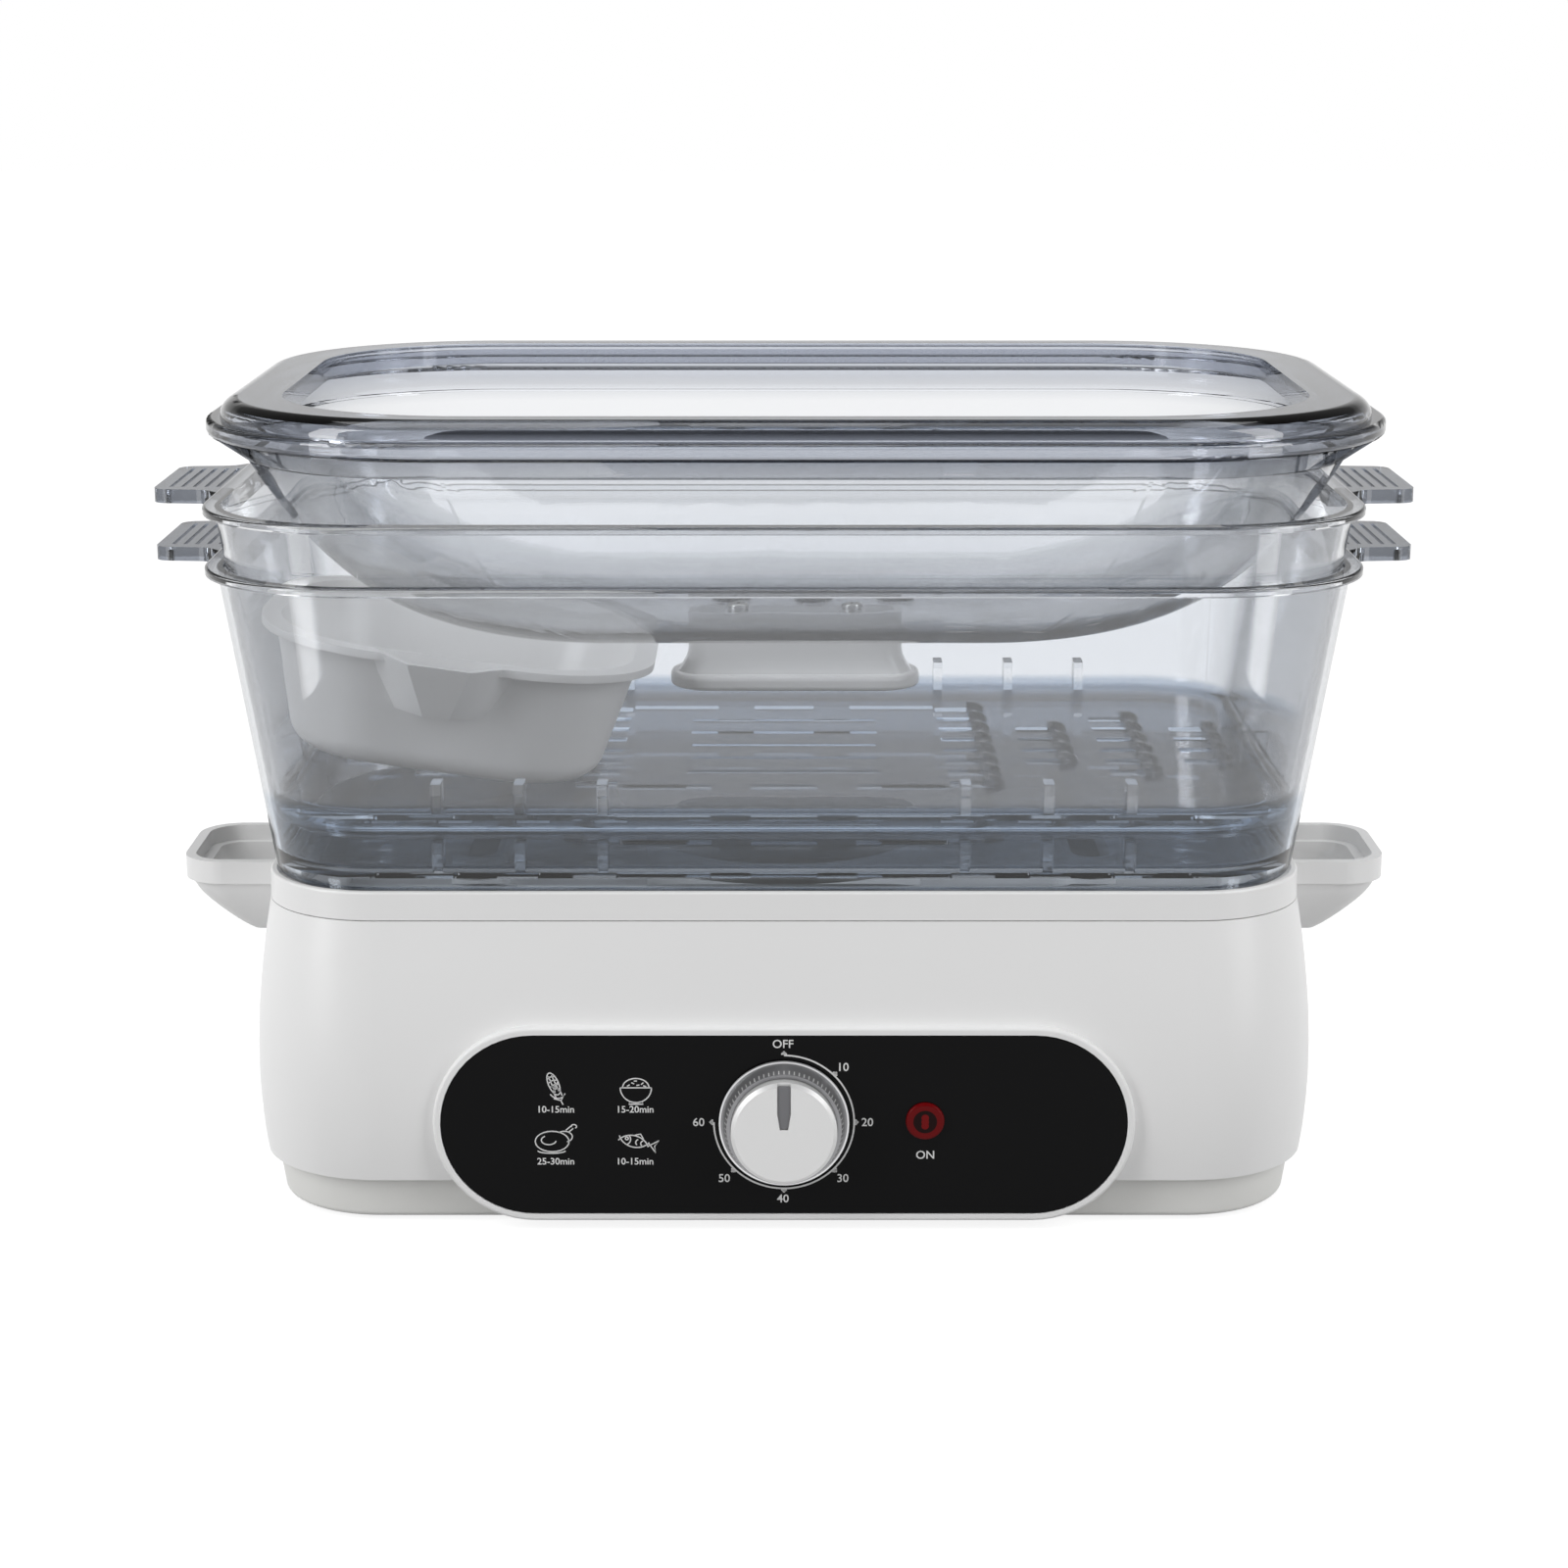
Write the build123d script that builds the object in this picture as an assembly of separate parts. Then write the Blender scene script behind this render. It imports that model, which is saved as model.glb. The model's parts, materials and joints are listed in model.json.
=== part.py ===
"""Electric food steamer: oblong base, two nesting baskets, rice bowl and lid, stacked for storage.

Millimetres, +Z up. The origin is on the table under the middle of the base, the controls face -Y.
"""
import math
import os

from build123d import *

# ---------------------------------------------------------------- driving dimensions

# Clearances
body_gap = 0.3          # between pieces that lift apart
fit_gap = 0.2           # between pieces fastened together
running_gap = 0.15      # round the turning shaft, on the radius

# Base housing, measured at its top edge
base_half_length = 155.0
base_half_depth = 97.2
base_corner = 34.0
housing_bottom = 14.7
housing_top = 93.7
housing_wall = 2.8
bulge_at_bottom = 3.5
bulge_at_widest = 5.4
bulge_at_shoulder = 3.9
widest_share = 0.31
shoulder_share = 0.67
ledge_thickness = 2.4
ledge_reach = 4.4
ledge_drop = 5.0

# Water inlet ears at the two ends
ear_reach = 34.5
ear_half_width = 25.0
ear_corner = 13.0
ear_centre_y = -4.0
ear_wall = 3.2
ear_band = 7.2
ear_ledge_depth = 5.0
ear_ledge_width = 3.4
ear_depth = 24.5
ear_floor = 3.0
ear_side_share = 0.5
ear_belly = ((0.0, 1.8), (0.25, 4.2), (0.55, 9.5), (0.8, 15.0), (1.0, 20.5))
inlet_half_width = 13.0
inlet_height = 9.0

# Bottom cover and feet
foot_height = 1.2
foot_radius = 8.0
foot_inset = 30.0
foot_pocket = 1.0
screw_sink = 4.0
cover_floor = 2.6
cover_wall = 2.4
cover_lip = 4.0
cover_draft_inset = 2.0
cover_edge_radius = 2.0
cover_vent_length = 26.0
cover_vent_width = 3.0
cover_vent_pitch = 8.0
cover_vent_count = 5
cover_vent_x = 62.0
post_radius = 4.5
post_inset = 10.0
post_height = 18.0
screw_radius = 1.6
screw_head_radius = 3.2
screw_head_height = 2.0
screw_length = 12.0

# Control panel
panel_length = 203.0
panel_height = 55.6
panel_centre_z = 33.3
panel_thickness = 1.6
panel_recess = 2.0
panel_stand = 7.3
bezel_width = 2.2
lamp_x = 41.6
lamp_z = 34.7

# Timer and its knob
timer_z = 34.2
timer_length = 50.0
timer_height = 44.0
timer_depth = 32.0
timer_corner = 4.0
timer_flange = 4.0
timer_flange_thickness = 1.6
timer_bush_radius = 5.0
timer_bush_length = 2.2
bell_radius = 19.0
bell_depth = 9.0
bell_wall = 1.2
bell_post_radius = 3.0
shaft_radius = 3.0
shaft_flat = 2.2
shaft_hole_radius = 5.4
knob_skirt_radius = 19.2
knob_shoulder_radius = 16.9
knob_rim_height = 1.0
knob_skirt_height = 6.2
knob_hub_radius = 5.0
knob_hub_length = 1.6
knob_panel_gap = 0.5
knob_wall = 1.6
cap_radius = 15.6
cap_height = 4.0
cap_bevel = 1.1
cap_seat = 1.2
pointer_width = 3.6
pointer_length = 14.0
pointer_depth = 1.4

# Power lamp
lens_radius = 5.7
lens_proud = 1.3
lens_body_radius = 4.4
neon_radius = 2.6
neon_length = 16.0
neon_wall = 1.0

# Mains entry at the back
gland_x = 96.0
gland_z = 30.0
gland_flange_radius = 8.5
gland_flange_thickness = 3.0
gland_neck_radius = 6.0
gland_bore_radius = 3.6
gland_tail = 9.0
gland_nut_radius = 8.2
gland_nut_length = 4.0
gland_nut_gap = 1.1

# Reservoir and heater
reservoir_wall = 2.2
reservoir_side_gap = 8.0
reservoir_floor_z = 62.0
heater_radius = 52.0
heater_plate_thickness = 3.0
heater_boss_radius = 44.0
heater_boss_depth = 8.0
heater_hole_gap = 1.0
seal_thickness = 0.8
seal_width = 5.0
element_ring_radius = 33.0
element_tube_radius = 3.4
element_gap_angle = 40.0
element_leg = 9.0
terminal_length = 9.0
terminal_width = 6.3
terminal_thickness = 0.8
terminal_seat = 0.5
stud_circle_radius = 47.6
stud_radius = 1.8
stud_length = 10.0
nut_across = 6.5
nut_height = 2.6
thermostat_radius = 8.5
thermostat_height = 7.0
thermostat_flange_length = 30.0
thermostat_flange_width = 10.0
thermostat_flange_thickness = 1.0
fuse_radius = 2.0
fuse_length = 20.0
fuse_offset = 17.0
steam_ring_radius = 58.0
steam_ring_wall = 1.8
steam_ring_slot_width = 12.0
steam_ring_slot_height = 6.0
steam_ring_slot_count = 8
steam_ring_lip = 4.0

# Drip tray, whose rim is the collar above the housing
collar_height = 8.5
collar_draft_inset = 0.2
collar_wall = 1.8
collar_edge_radius = 0.8
shelf_height = 4.9
shelf_thickness = 2.4
pan_wall = 2.0
pan_floor = 2.0
pan_depth = 8.0
chimney_radius = 44.0
chimney_wall = 2.0
chimney_height = 9.0
side_chimney_x = 96.0
side_chimney_length = 70.0
side_chimney_width = 16.0

# Baskets, measured at the outside of the wall where it meets the floor
basket_half_length = 153.6
basket_half_depth = 95.0
basket_corner = 33.0
basket_wall = 2.0
basket_floor = 2.0
basket_floor_rise = 4.4
basket_base_drop = 6.5
basket_height = 87.5
basket_wall_rise = 85.3
basket_floor_radius = 4.4
basket_inner_radius = 4.0
nest_pitch = 17.8
nest_gap = 0.85
rim_overhang = 3.6
rim_edge_radius = 0.9
foot_ring_inset = 5.8
foot_ring_wall = 2.2
stack_rib_width = 3.0
stack_rib_reach = 9.0
stack_rib_pitch = 24.2
stack_rib_first = 53.0
stack_rib_count = 3
tab_reach = 22.6
tab_root_half = 34.0
tab_neck_half = 26.5
tab_neck_reach = 6.0
tab_tip_half = 25.0
tab_corner = 5.0
tab_flare_radius = 7.0
tab_thickness = 4.3
tab_drop = 2.0
tab_groove_width = 1.2
tab_groove_depth = 0.7
tab_groove_inset = 5.0
tab_groove_pitch = 3.6
tab_groove_count = 5

# Basket floor openings
long_slot_length = 28.0
short_slot_length = 20.0
slot_width = 5.0
slot_centre_x = 36.0
slot_row_y = 56.0
louvre_length = 13.0
louvre_width = 6.5
louvre_pitch = 15.0
louvre_column_x = 57.0
louvre_column_pitch = 25.0
louvre_counts = (8, 4, 6, 4)
hole_row_count = 5
hole_row_pitch = 18.0
hole_length = 60.0
hole_width = 3.0

# Rice bowl
bowl_half_length = 60.5
bowl_half_depth = 58.0
bowl_corner = 42.0
bowl_depth = 38.0
bowl_base_inset = 13.5
bowl_wall = 2.0
bowl_base_radius = 9.0
bowl_rim_width = 4.5
bowl_rim_thickness = 2.4
bowl_tilt = 8.0
bowl_centre_y = -27.0
bowl_spout_half = 17.0
bowl_spout_reach = 11.0
bowl_foot_half_length = 27.0
bowl_foot_half_depth = 31.0
bowl_foot_height = 1.4
bowl_foot_corner = 12.0

# Lid, turned upside down on the bowl, measured at its outer lip
lid_half_length = 175.2
lid_half_depth = 117.5
lid_corner = 74.0
lid_shift_x = 3.5
lid_seat_gap = 0.6
lid_dome_depth = 60.0
lid_band_rise = 3.0
lid_wall = 2.3
lid_band_height = 14.0
lid_shoulder_inset = 4.2
lid_shoulder_radius = 5.5
lid_lip_low = 3.5
lid_lip_high = 8.4
lid_lip_radius = 1.6
lid_opening_inset_x = 22.5
lid_opening_inset_y = 17.5
lid_opening_corner = 58.0
lid_opening_depth = 7.0
lid_dome_top_inset = 11.0
lid_flange_step = 0.4
dome_power = 5.0
dome_depth_power = 1.25
dome_corner_share = 0.6
dome_shares = (0.33, 0.5, 0.64, 0.76, 0.86, 0.94, 1.0)
vent_radius = 4.6
vent_collar_wall = 1.1
vent_collar_height = 1.0
vent_pitch = 26.3
vent_centre_x = 6.0
vent_y = 17.0
vent_count = 3

# Lid knob
lid_knob_plate_length = 78.6
lid_knob_plate_width = 30.0
lid_knob_plate_thickness = 4.4
lid_knob_height = 19.5
lid_knob_neck_inset = 5.6
lid_knob_wall = 2.4
lid_knob_edge_radius = 1.4
lid_knob_flare_reach = 3.2
lid_knob_flare_height = 7.5
lid_knob_flare_shares = (0.0, 0.25, 0.5, 0.75, 1.0)
lid_knob_screw_pitch = 36.0
lid_knob_post_radius = 4.0

# ---------------------------------------------------------------- places that follow from them

base_outline = (base_half_length, base_half_depth, base_corner)
basket_outline = (basket_half_length, basket_half_depth, basket_corner)
lid_outline = (lid_half_length, lid_half_depth, lid_corner)

housing_rise = housing_top - housing_bottom
housing_levels = [
    (housing_bottom, bulge_at_bottom),
    (housing_bottom + widest_share * housing_rise, bulge_at_widest),
    (housing_bottom + shoulder_share * housing_rise, bulge_at_shoulder),
    (housing_top, 0.0),
]
ear_rim_z = housing_top - fit_gap
ledge_top_z = housing_top - ledge_drop

cover_growth = bulge_at_bottom - housing_wall - body_gap
panel_front_y = -(base_half_depth + panel_stand)
panel_back_y = panel_front_y + panel_recess
boss_back_y = -(base_half_depth + cover_growth + fit_gap)
boss_depth = boss_back_y - panel_front_y
panel_face_y = panel_back_y - panel_thickness - fit_gap

collar_bottom_z = housing_top + body_gap
collar_top_z = collar_bottom_z + collar_height
shelf_top_z = collar_bottom_z + shelf_height
pan_bottom_z = collar_bottom_z - pan_depth
plug_inset = reservoir_side_gap + reservoir_wall + body_gap

nest_slope = (basket_wall + nest_gap) / nest_pitch
lower_floor_z = collar_top_z + body_gap + basket_floor_rise
foot_ring_depth = lower_floor_z - shelf_top_z - body_gap
upper_floor_z = lower_floor_z + nest_pitch
wall_top_growth = basket_wall_rise * nest_slope
rim_growth = wall_top_growth + rim_overhang

bowl_sine = math.sin(math.radians(bowl_tilt))
bowl_cosine = math.cos(math.radians(bowl_tilt))
bowl_foot_dip = bowl_foot_half_length * bowl_sine + bowl_foot_height * bowl_cosine
bowl_base_dip = (bowl_half_length - bowl_base_inset) * bowl_sine
bowl_origin_z = upper_floor_z + body_gap + max(bowl_foot_dip, bowl_base_dip)
bowl_edge_height = bowl_depth - bowl_rim_thickness
bowl_edge_z = bowl_origin_z + bowl_edge_height * bowl_cosine + bowl_half_length * bowl_sine
bowl_wall_growth = (bowl_edge_z - upper_floor_z) * nest_slope
bowl_left_limit = basket_half_length + bowl_wall_growth - basket_wall - body_gap
bowl_origin_x = bowl_half_length * bowl_cosine - bowl_edge_height * bowl_sine - bowl_left_limit


def dome_size(share):
    """Half length, half depth and corner of the dome where it has a share of its full length."""
    half_length = (lid_half_length - lid_dome_top_inset) * share
    half_depth = (lid_half_depth - lid_dome_top_inset) * share ** dome_depth_power
    return half_length, half_depth, dome_corner_share * half_depth


def dome_rise(share):
    """Height of the dome above its crown at one share of its full length."""
    crown = dome_shares[0] ** dome_power
    return max(0.0, (share ** dome_power - crown) / (1 - crown)) * lid_dome_depth


def dome_share_at(x, y):
    """Share of the dome outline that passes through a point, found by halving."""
    low, high = dome_shares[0], 1.2
    for _ in range(30):
        share = (low + high) / 2
        half_length, half_depth, corner = dome_size(share)
        past_x = max(0.0, abs(x) - half_length + corner)
        past_y = max(0.0, abs(y) - half_depth + corner)
        if math.hypot(past_x, past_y) > corner:
            low = share
        else:
            high = share
    return high


def bowl_rim_points(count=180):
    """Points along the bowl's rim, in the assembly."""
    points = []
    inner_x = bowl_half_length - bowl_corner
    inner_y = bowl_half_depth - bowl_corner
    for index in range(count):
        angle = 2 * math.pi * index / count
        x = bowl_corner * math.cos(angle) + math.copysign(inner_x, math.cos(angle))
        y = bowl_corner * math.sin(angle) + math.copysign(inner_y, math.sin(angle))
        points.append((bowl_origin_x + x * bowl_cosine + bowl_depth * bowl_sine,
                       bowl_centre_y + y,
                       bowl_origin_z - x * bowl_sine + bowl_depth * bowl_cosine))
    return points


lid_rest_z = max(z - dome_rise(dome_share_at(x - lid_shift_x, y)) for x, y, z in bowl_rim_points())
lid_bottom_z = lid_rest_z + lid_seat_gap
lid_band_z = lid_bottom_z + lid_dome_depth + lid_band_rise
lid_top_z = lid_band_z + lid_band_height


# ---------------------------------------------------------------- shared shapes

def plan(outline, grow, z):
    """Rounded rectangle at height z, grown evenly outwards from an outline."""
    half_length, half_depth, corner = outline
    length = 2 * (half_length + grow)
    depth = 2 * (half_depth + grow)
    return Pos(0, 0, z) * RectangleRounded(length, depth, corner + grow)


def prism(outline, grow, low, high):
    """Straight block of an outline between two heights."""
    return extrude(plan(outline, grow, low), high - low)


def ring(outline, grow_out, grow_in, low, high):
    """Straight band between two offsets of one outline."""
    return prism(outline, grow_out, low, high) - prism(outline, grow_in, low, high)


def skin(outline, levels, offset=0.0, ruled=False):
    """Block whose outline grows through a list of (height, growth) levels."""
    return loft([plan(outline, growth + offset, z) for z, growth in levels], ruled=ruled)


def rod(x, y, radius, low, high):
    """Upright cylinder between two heights."""
    return extrude(Pos(x, y, low) * Circle(radius), high - low)


def front_plane(x, y, z):
    """Plane that faces -Y, with its own X to the right."""
    return Plane(origin=(x, y, z), x_dir=(1, 0, 0), z_dir=(0, -1, 0))


def front_rod(x, z, radius, back_y, front_y):
    """Cylinder along Y between two depths."""
    return extrude(front_plane(x, back_y, z) * Circle(radius), back_y - front_y)


def edges_near(solid, height, tolerance=0.01):
    """Edges that lie wholly at one height."""
    return solid.edges().filter_by_position(Axis.Z, height - tolerance, height + tolerance)


def corner_points(outline, inset):
    """Four points on the corner diagonals, an inset inside the outline."""
    half_length, half_depth, corner = outline
    reach = (corner - inset) / math.sqrt(2)
    x = half_length - corner + reach
    y = half_depth - corner + reach
    return [(side * x, face * y) for side in (-1, 1) for face in (-1, 1)]


# ---------------------------------------------------------------- base

def ear_plan(side, inset, side_inset, z):
    """Rounded outline of one water inlet ear, drawn in at its tip and at its two sides."""
    centre = Pos(side * base_half_length, ear_centre_y, z)
    half_width = ear_half_width - side_inset
    corner = min(max(ear_corner - side_inset, 1.0), 0.9 * half_width)
    return centre * RectangleRounded(2 * (ear_reach - inset), 2 * half_width, corner)


def ear_bowl(side, inset, low, high):
    """Rounded belly of an ear between two heights, drawn in by an inset."""
    sections = [ear_plan(side, shrink + inset, ear_side_share * shrink + inset, high - share * (high - low))
                for share, shrink in ear_belly]
    return loft(sections)


def ear_shell(side):
    """Scoop with a thick band round its rim and a round belly that runs in to the wall."""
    band_low = ear_rim_z - ear_band
    band = extrude(ear_plan(side, 0, 0, band_low), ear_band)
    return band + ear_bowl(side, 0, ear_rim_z - ear_depth, band_low)


def ear_hollow(side):
    """Open space of the scoop: a shallow recess over a deeper channel."""
    ledge_z = ear_rim_z - ear_ledge_depth
    recess = extrude(ear_plan(side, ear_wall, ear_wall, ledge_z), ear_ledge_depth + 1)
    inset = ear_wall + ear_ledge_width - ear_belly[0][1]
    return recess + ear_bowl(side, inset, ear_rim_z - ear_depth + ear_floor, ledge_z)


def inlet_passage(side):
    """Channel through the housing and reservoir walls behind one ear."""
    width = 2 * inlet_half_width
    x = side * (base_half_length - reservoir_side_gap / 2)
    low = ear_rim_z - ear_ledge_depth - inlet_height - 1.0
    length = 2 * reservoir_side_gap + 2 * reservoir_wall
    return extrude(Pos(x, 0, low) * Rectangle(length, width), inlet_height)


def screw_posts(low, high):
    """Posts in the four corners that take the bottom screws, each run out to the wall."""
    posts = []
    for x, y in corner_points(base_outline, post_inset):
        angle = math.degrees(math.atan2(y, x))
        turn = 45 if x * y > 0 else -45
        web = Rectangle(4 * post_radius, 1.4 * post_radius)
        shift = 2 * post_radius * (1 if x > 0 else -1)
        sketch = Pos(x, y, low) * (Circle(post_radius) + Rot(0, 0, turn) * Pos(shift, 0) * web)
        posts.append(extrude(sketch, high - low))
    return posts


def base_housing():
    """Outer shell with the inlet ears, the panel bezel and the reservoir ledge."""
    outer = skin(base_outline, housing_levels)
    cavity = skin(base_outline, housing_levels, -housing_wall)
    boss_sketch = SlotOverall(panel_length + 2 * bezel_width, panel_height + 2 * bezel_width)
    boss = extrude(front_plane(0, boss_back_y, panel_centre_z) * boss_sketch, boss_depth)
    boss = fillet(boss.faces().sort_by(Axis.Y)[0].edges(), 0.9)
    body = outer
    for side in (-1, 1):
        body += ear_shell(side)
    body -= cavity
    ledge_low = ledge_top_z - ledge_thickness
    body += ring(base_outline, -housing_wall / 2, -housing_wall - ledge_reach, ledge_low, ledge_top_z)
    post_low = housing_bottom + cover_lip + fit_gap
    posts = screw_posts(post_low, post_low + post_height)
    keep = skin(base_outline, housing_levels, -housing_wall / 2)
    for post in posts:
        body += post & keep
    body += boss
    for side in (-1, 1):
        body -= ear_hollow(side)
        body -= inlet_passage(side)
    for x, y in corner_points(base_outline, post_inset):
        body -= rod(x, y, screw_radius, post_low, post_low + screw_length)
    recess = extrude(front_plane(0, panel_back_y, panel_centre_z)
                     * SlotOverall(panel_length, panel_height), panel_recess)
    body -= recess
    body -= front_rod(0, timer_z, shaft_hole_radius, 0, panel_front_y)
    body -= front_rod(lamp_x, lamp_z, lens_body_radius + fit_gap, boss_back_y + 1, panel_front_y)
    for x in timer_screw_places():
        body -= front_rod(x, timer_z, screw_radius + fit_gap, boss_back_y + 1, panel_front_y)
        body -= front_rod(x, timer_z, screw_head_radius + fit_gap, timer_head_y(), panel_front_y)
    body -= front_rod(gland_x, gland_z, gland_neck_radius + fit_gap, back_wall_y() + housing_wall,
                      back_wall_y() - 3 * housing_wall)
    return body


def bottom_cover():
    """Tray that closes the base, with a lip inside the housing, vents and foot pockets."""
    outer_grow = cover_growth
    low = foot_height
    shell = skin(base_outline, [(low, outer_grow - cover_draft_inset), (housing_bottom, outer_grow)],
                 ruled=True)
    shell = fillet(edges_near(shell, low), cover_edge_radius)
    shell += prism(base_outline, outer_grow, housing_bottom, housing_bottom + cover_lip)
    inner = outer_grow - cover_draft_inset - cover_wall
    shell -= prism(base_outline, inner, low + cover_floor, housing_bottom + cover_lip)
    pillar_top = housing_bottom + cover_lip
    for x, y in corner_points(base_outline, post_inset):
        shell += rod(x, y, post_radius, low, pillar_top)
        shell -= rod(x, y, screw_radius + fit_gap, low, pillar_top)
        shell -= rod(x, y, screw_head_radius + fit_gap, low, low + screw_sink + screw_head_height)
    for x, y in foot_places():
        shell -= rod(x, y, foot_radius + fit_gap, low, low + foot_pocket)
    for side in (-1, 1):
        for index in range(cover_vent_count):
            y = (index - (cover_vent_count - 1) / 2) * cover_vent_pitch
            vent = Pos(side * cover_vent_x, y, low) * Rectangle(cover_vent_length, cover_vent_width)
            shell -= extrude(vent, cover_floor + 1)
    notch_low = timer_z - timer_height / 2 - fit_gap
    notch_depth = 2 * (cover_draft_inset + cover_wall + 1)
    notch = Pos(0, boss_back_y, notch_low) * Rectangle(timer_length + 4 * timer_flange, notch_depth)
    return shell - extrude(notch, pillar_top - notch_low)


def foot_places():
    """Centres of the four feet."""
    return [(side * (base_half_length - foot_inset), face * (base_half_depth - foot_inset))
            for side in (-1, 1) for face in (-1, 1)]


def rubber_feet():
    """Four round feet pressed in the bottom cover."""
    feet = []
    for x, y in foot_places():
        foot = rod(x, y, foot_radius, 0, foot_height + foot_pocket)
        feet.append(chamfer(edges_near(foot, 0), 0.8))
    return Compound(children=feet)


def bottom_screws():
    """Screws that hold the cover to the posts."""
    head_low = foot_height + screw_sink
    screws = []
    for x, y in corner_points(base_outline, post_inset):
        head = rod(x, y, screw_head_radius, head_low, head_low + screw_head_height)
        head -= extrude(Pos(x, y, head_low) * Rectangle(3.6, 0.9), 0.8)
        head -= extrude(Pos(x, y, head_low) * Rectangle(0.9, 3.6), 0.8)
        top = head_low + screw_head_height + screw_length
        screws.append(head + rod(x, y, screw_radius - 0.05, head_low + 1, top))
    return Compound(children=screws)


def back_wall_y():
    """Outer face of the back wall at the height of the mains entry."""
    return base_half_depth + bulge_at_widest


def cord_gland():
    """Round gland in the back wall: flange outside, neck through the wall."""
    outer_y = back_wall_y() + gland_flange_thickness
    inner_y = back_wall_y() - housing_wall - gland_tail
    flange = front_rod(gland_x, gland_z, gland_flange_radius, outer_y, back_wall_y() + fit_gap)
    flange = fillet(flange.faces().sort_by(Axis.Y)[-1].edges(), 1.2)
    neck = front_rod(gland_x, gland_z, gland_neck_radius, outer_y - 1, inner_y)
    bore = front_rod(gland_x, gland_z, gland_bore_radius, outer_y, inner_y)
    return flange + neck - bore


def gland_nut():
    """Hexagon nut that holds the gland from inside."""
    back = back_wall_y() - housing_wall - gland_nut_gap
    hexagon = RegularPolygon(gland_nut_radius, 6)
    nut = extrude(front_plane(gland_x, back, gland_z) * hexagon, gland_nut_length)
    return nut - front_rod(gland_x, gland_z, gland_neck_radius + 0.05, back, back - gland_nut_length)


# ---------------------------------------------------------------- control panel and timer

def timer_screw_places():
    """X places of the two timer screws."""
    reach = timer_length / 2 + timer_flange / 2
    return (-reach - 2.0, reach + 2.0)


def timer_head_y():
    """Depth of the seat under the timer screw heads."""
    return panel_back_y + screw_head_height + 0.4


def control_panel():
    """Thin stadium plate that carries the printed dial."""
    face = SlotOverall(panel_length - 2 * fit_gap, panel_height - 2 * fit_gap)
    plate = extrude(front_plane(0, panel_back_y - fit_gap, panel_centre_z) * face, panel_thickness)
    plate -= front_rod(0, timer_z, shaft_hole_radius, panel_back_y, panel_front_y)
    plate -= front_rod(lamp_x, lamp_z, lens_body_radius + fit_gap, panel_back_y, panel_front_y)
    return plate


def timer_body():
    """Clockwork timer case with its fixing flange and front bush."""
    front = boss_back_y + fit_gap
    case = RectangleRounded(timer_length, timer_height, timer_corner)
    body = extrude(front_plane(0, front + timer_depth, timer_z) * case, timer_depth)
    flange_length = timer_length + 4 * timer_flange
    flange = RectangleRounded(flange_length, 4 * screw_head_radius, timer_corner)
    body += extrude(front_plane(0, front + timer_flange_thickness, timer_z) * flange,
                    timer_flange_thickness)
    body += front_rod(0, timer_z, timer_bush_radius, front + 1, front - timer_bush_length)
    bore = shaft_radius + running_gap
    body -= front_rod(0, timer_z, bore, front + timer_depth * 0.6, front - timer_bush_length)
    for x in timer_screw_places():
        body -= front_rod(x, timer_z, screw_radius + fit_gap, front + timer_depth, front)
    post = front_rod(0, timer_z, bell_post_radius, front + timer_depth + bell_depth - bell_wall,
                     front + timer_depth - 1)
    return body + post


def timer_bell():
    """Struck bell behind the timer."""
    mouth = boss_back_y + fit_gap + timer_depth + 1.0
    crown = mouth + bell_depth - bell_wall
    bell = front_rod(0, timer_z, bell_radius, crown, mouth)
    bell = fillet(bell.faces().sort_by(Axis.Y)[-1].edges(), 4.0)
    hollow = front_rod(0, timer_z, bell_radius - bell_wall, crown - bell_wall, mouth)
    hollow = fillet(hollow.faces().sort_by(Axis.Y)[-1].edges(), 3.0)
    bell -= hollow
    return bell - front_rod(0, timer_z, bell_post_radius + 0.05, crown, mouth)


def timer_screws():
    """Two screws through the bezel floor into the timer flange, under the panel."""
    screws = []
    for x in timer_screw_places():
        head_front = panel_back_y + 0.3
        head = front_rod(x, timer_z, screw_head_radius, timer_head_y(), head_front)
        shank = front_rod(x, timer_z, screw_radius, timer_head_y() + screw_length, timer_head_y() - 1)
        screws.append(head + shank)
    return Compound(children=screws)


def knob_back_y():
    """Back face of the timer knob."""
    return panel_face_y - knob_panel_gap


def knob_floor_y():
    """Front face of the knob's recess, where the cap seats."""
    return knob_back_y() - knob_skirt_height + cap_seat


def timer_shaft():
    """Shaft with a flat, from inside the timer to the knob."""
    back = boss_back_y + fit_gap + timer_depth * 0.6 - 1.0
    front = knob_floor_y() + knob_wall
    shaft = front_rod(0, timer_z, shaft_radius, back, front)
    flat_low = timer_z + shaft_flat
    flat_length = knob_back_y() + knob_hub_length + fit_gap - front
    block = Pos(0, front + flat_length / 2, flat_low + shaft_radius) * Box(
        2 * shaft_radius, flat_length, 2 * shaft_radius)
    return shaft - block


def timer_knob():
    """Conical skirt with a rim, a hub that runs into the panel and a D bore."""
    back = knob_back_y()
    front = back - knob_skirt_height
    points = [
        (0, back),
        (knob_skirt_radius, back),
        (knob_skirt_radius, back - knob_rim_height),
        (knob_skirt_radius - 0.7, back - knob_rim_height),
        (knob_shoulder_radius, front),
        (cap_radius + fit_gap, front),
        (cap_radius + fit_gap, knob_floor_y()),
        (0, knob_floor_y()),
    ]
    profile = make_face(Polyline(*points, close=True))
    knob = Pos(0, 0, timer_z) * revolve(profile, Axis.Y)
    knob += front_rod(0, timer_z, knob_hub_radius, back + knob_hub_length, back)
    bore_front = knob_floor_y() + knob_wall
    knob -= timer_shaft_space(bore_front, back + knob_hub_length)
    return knob


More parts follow.
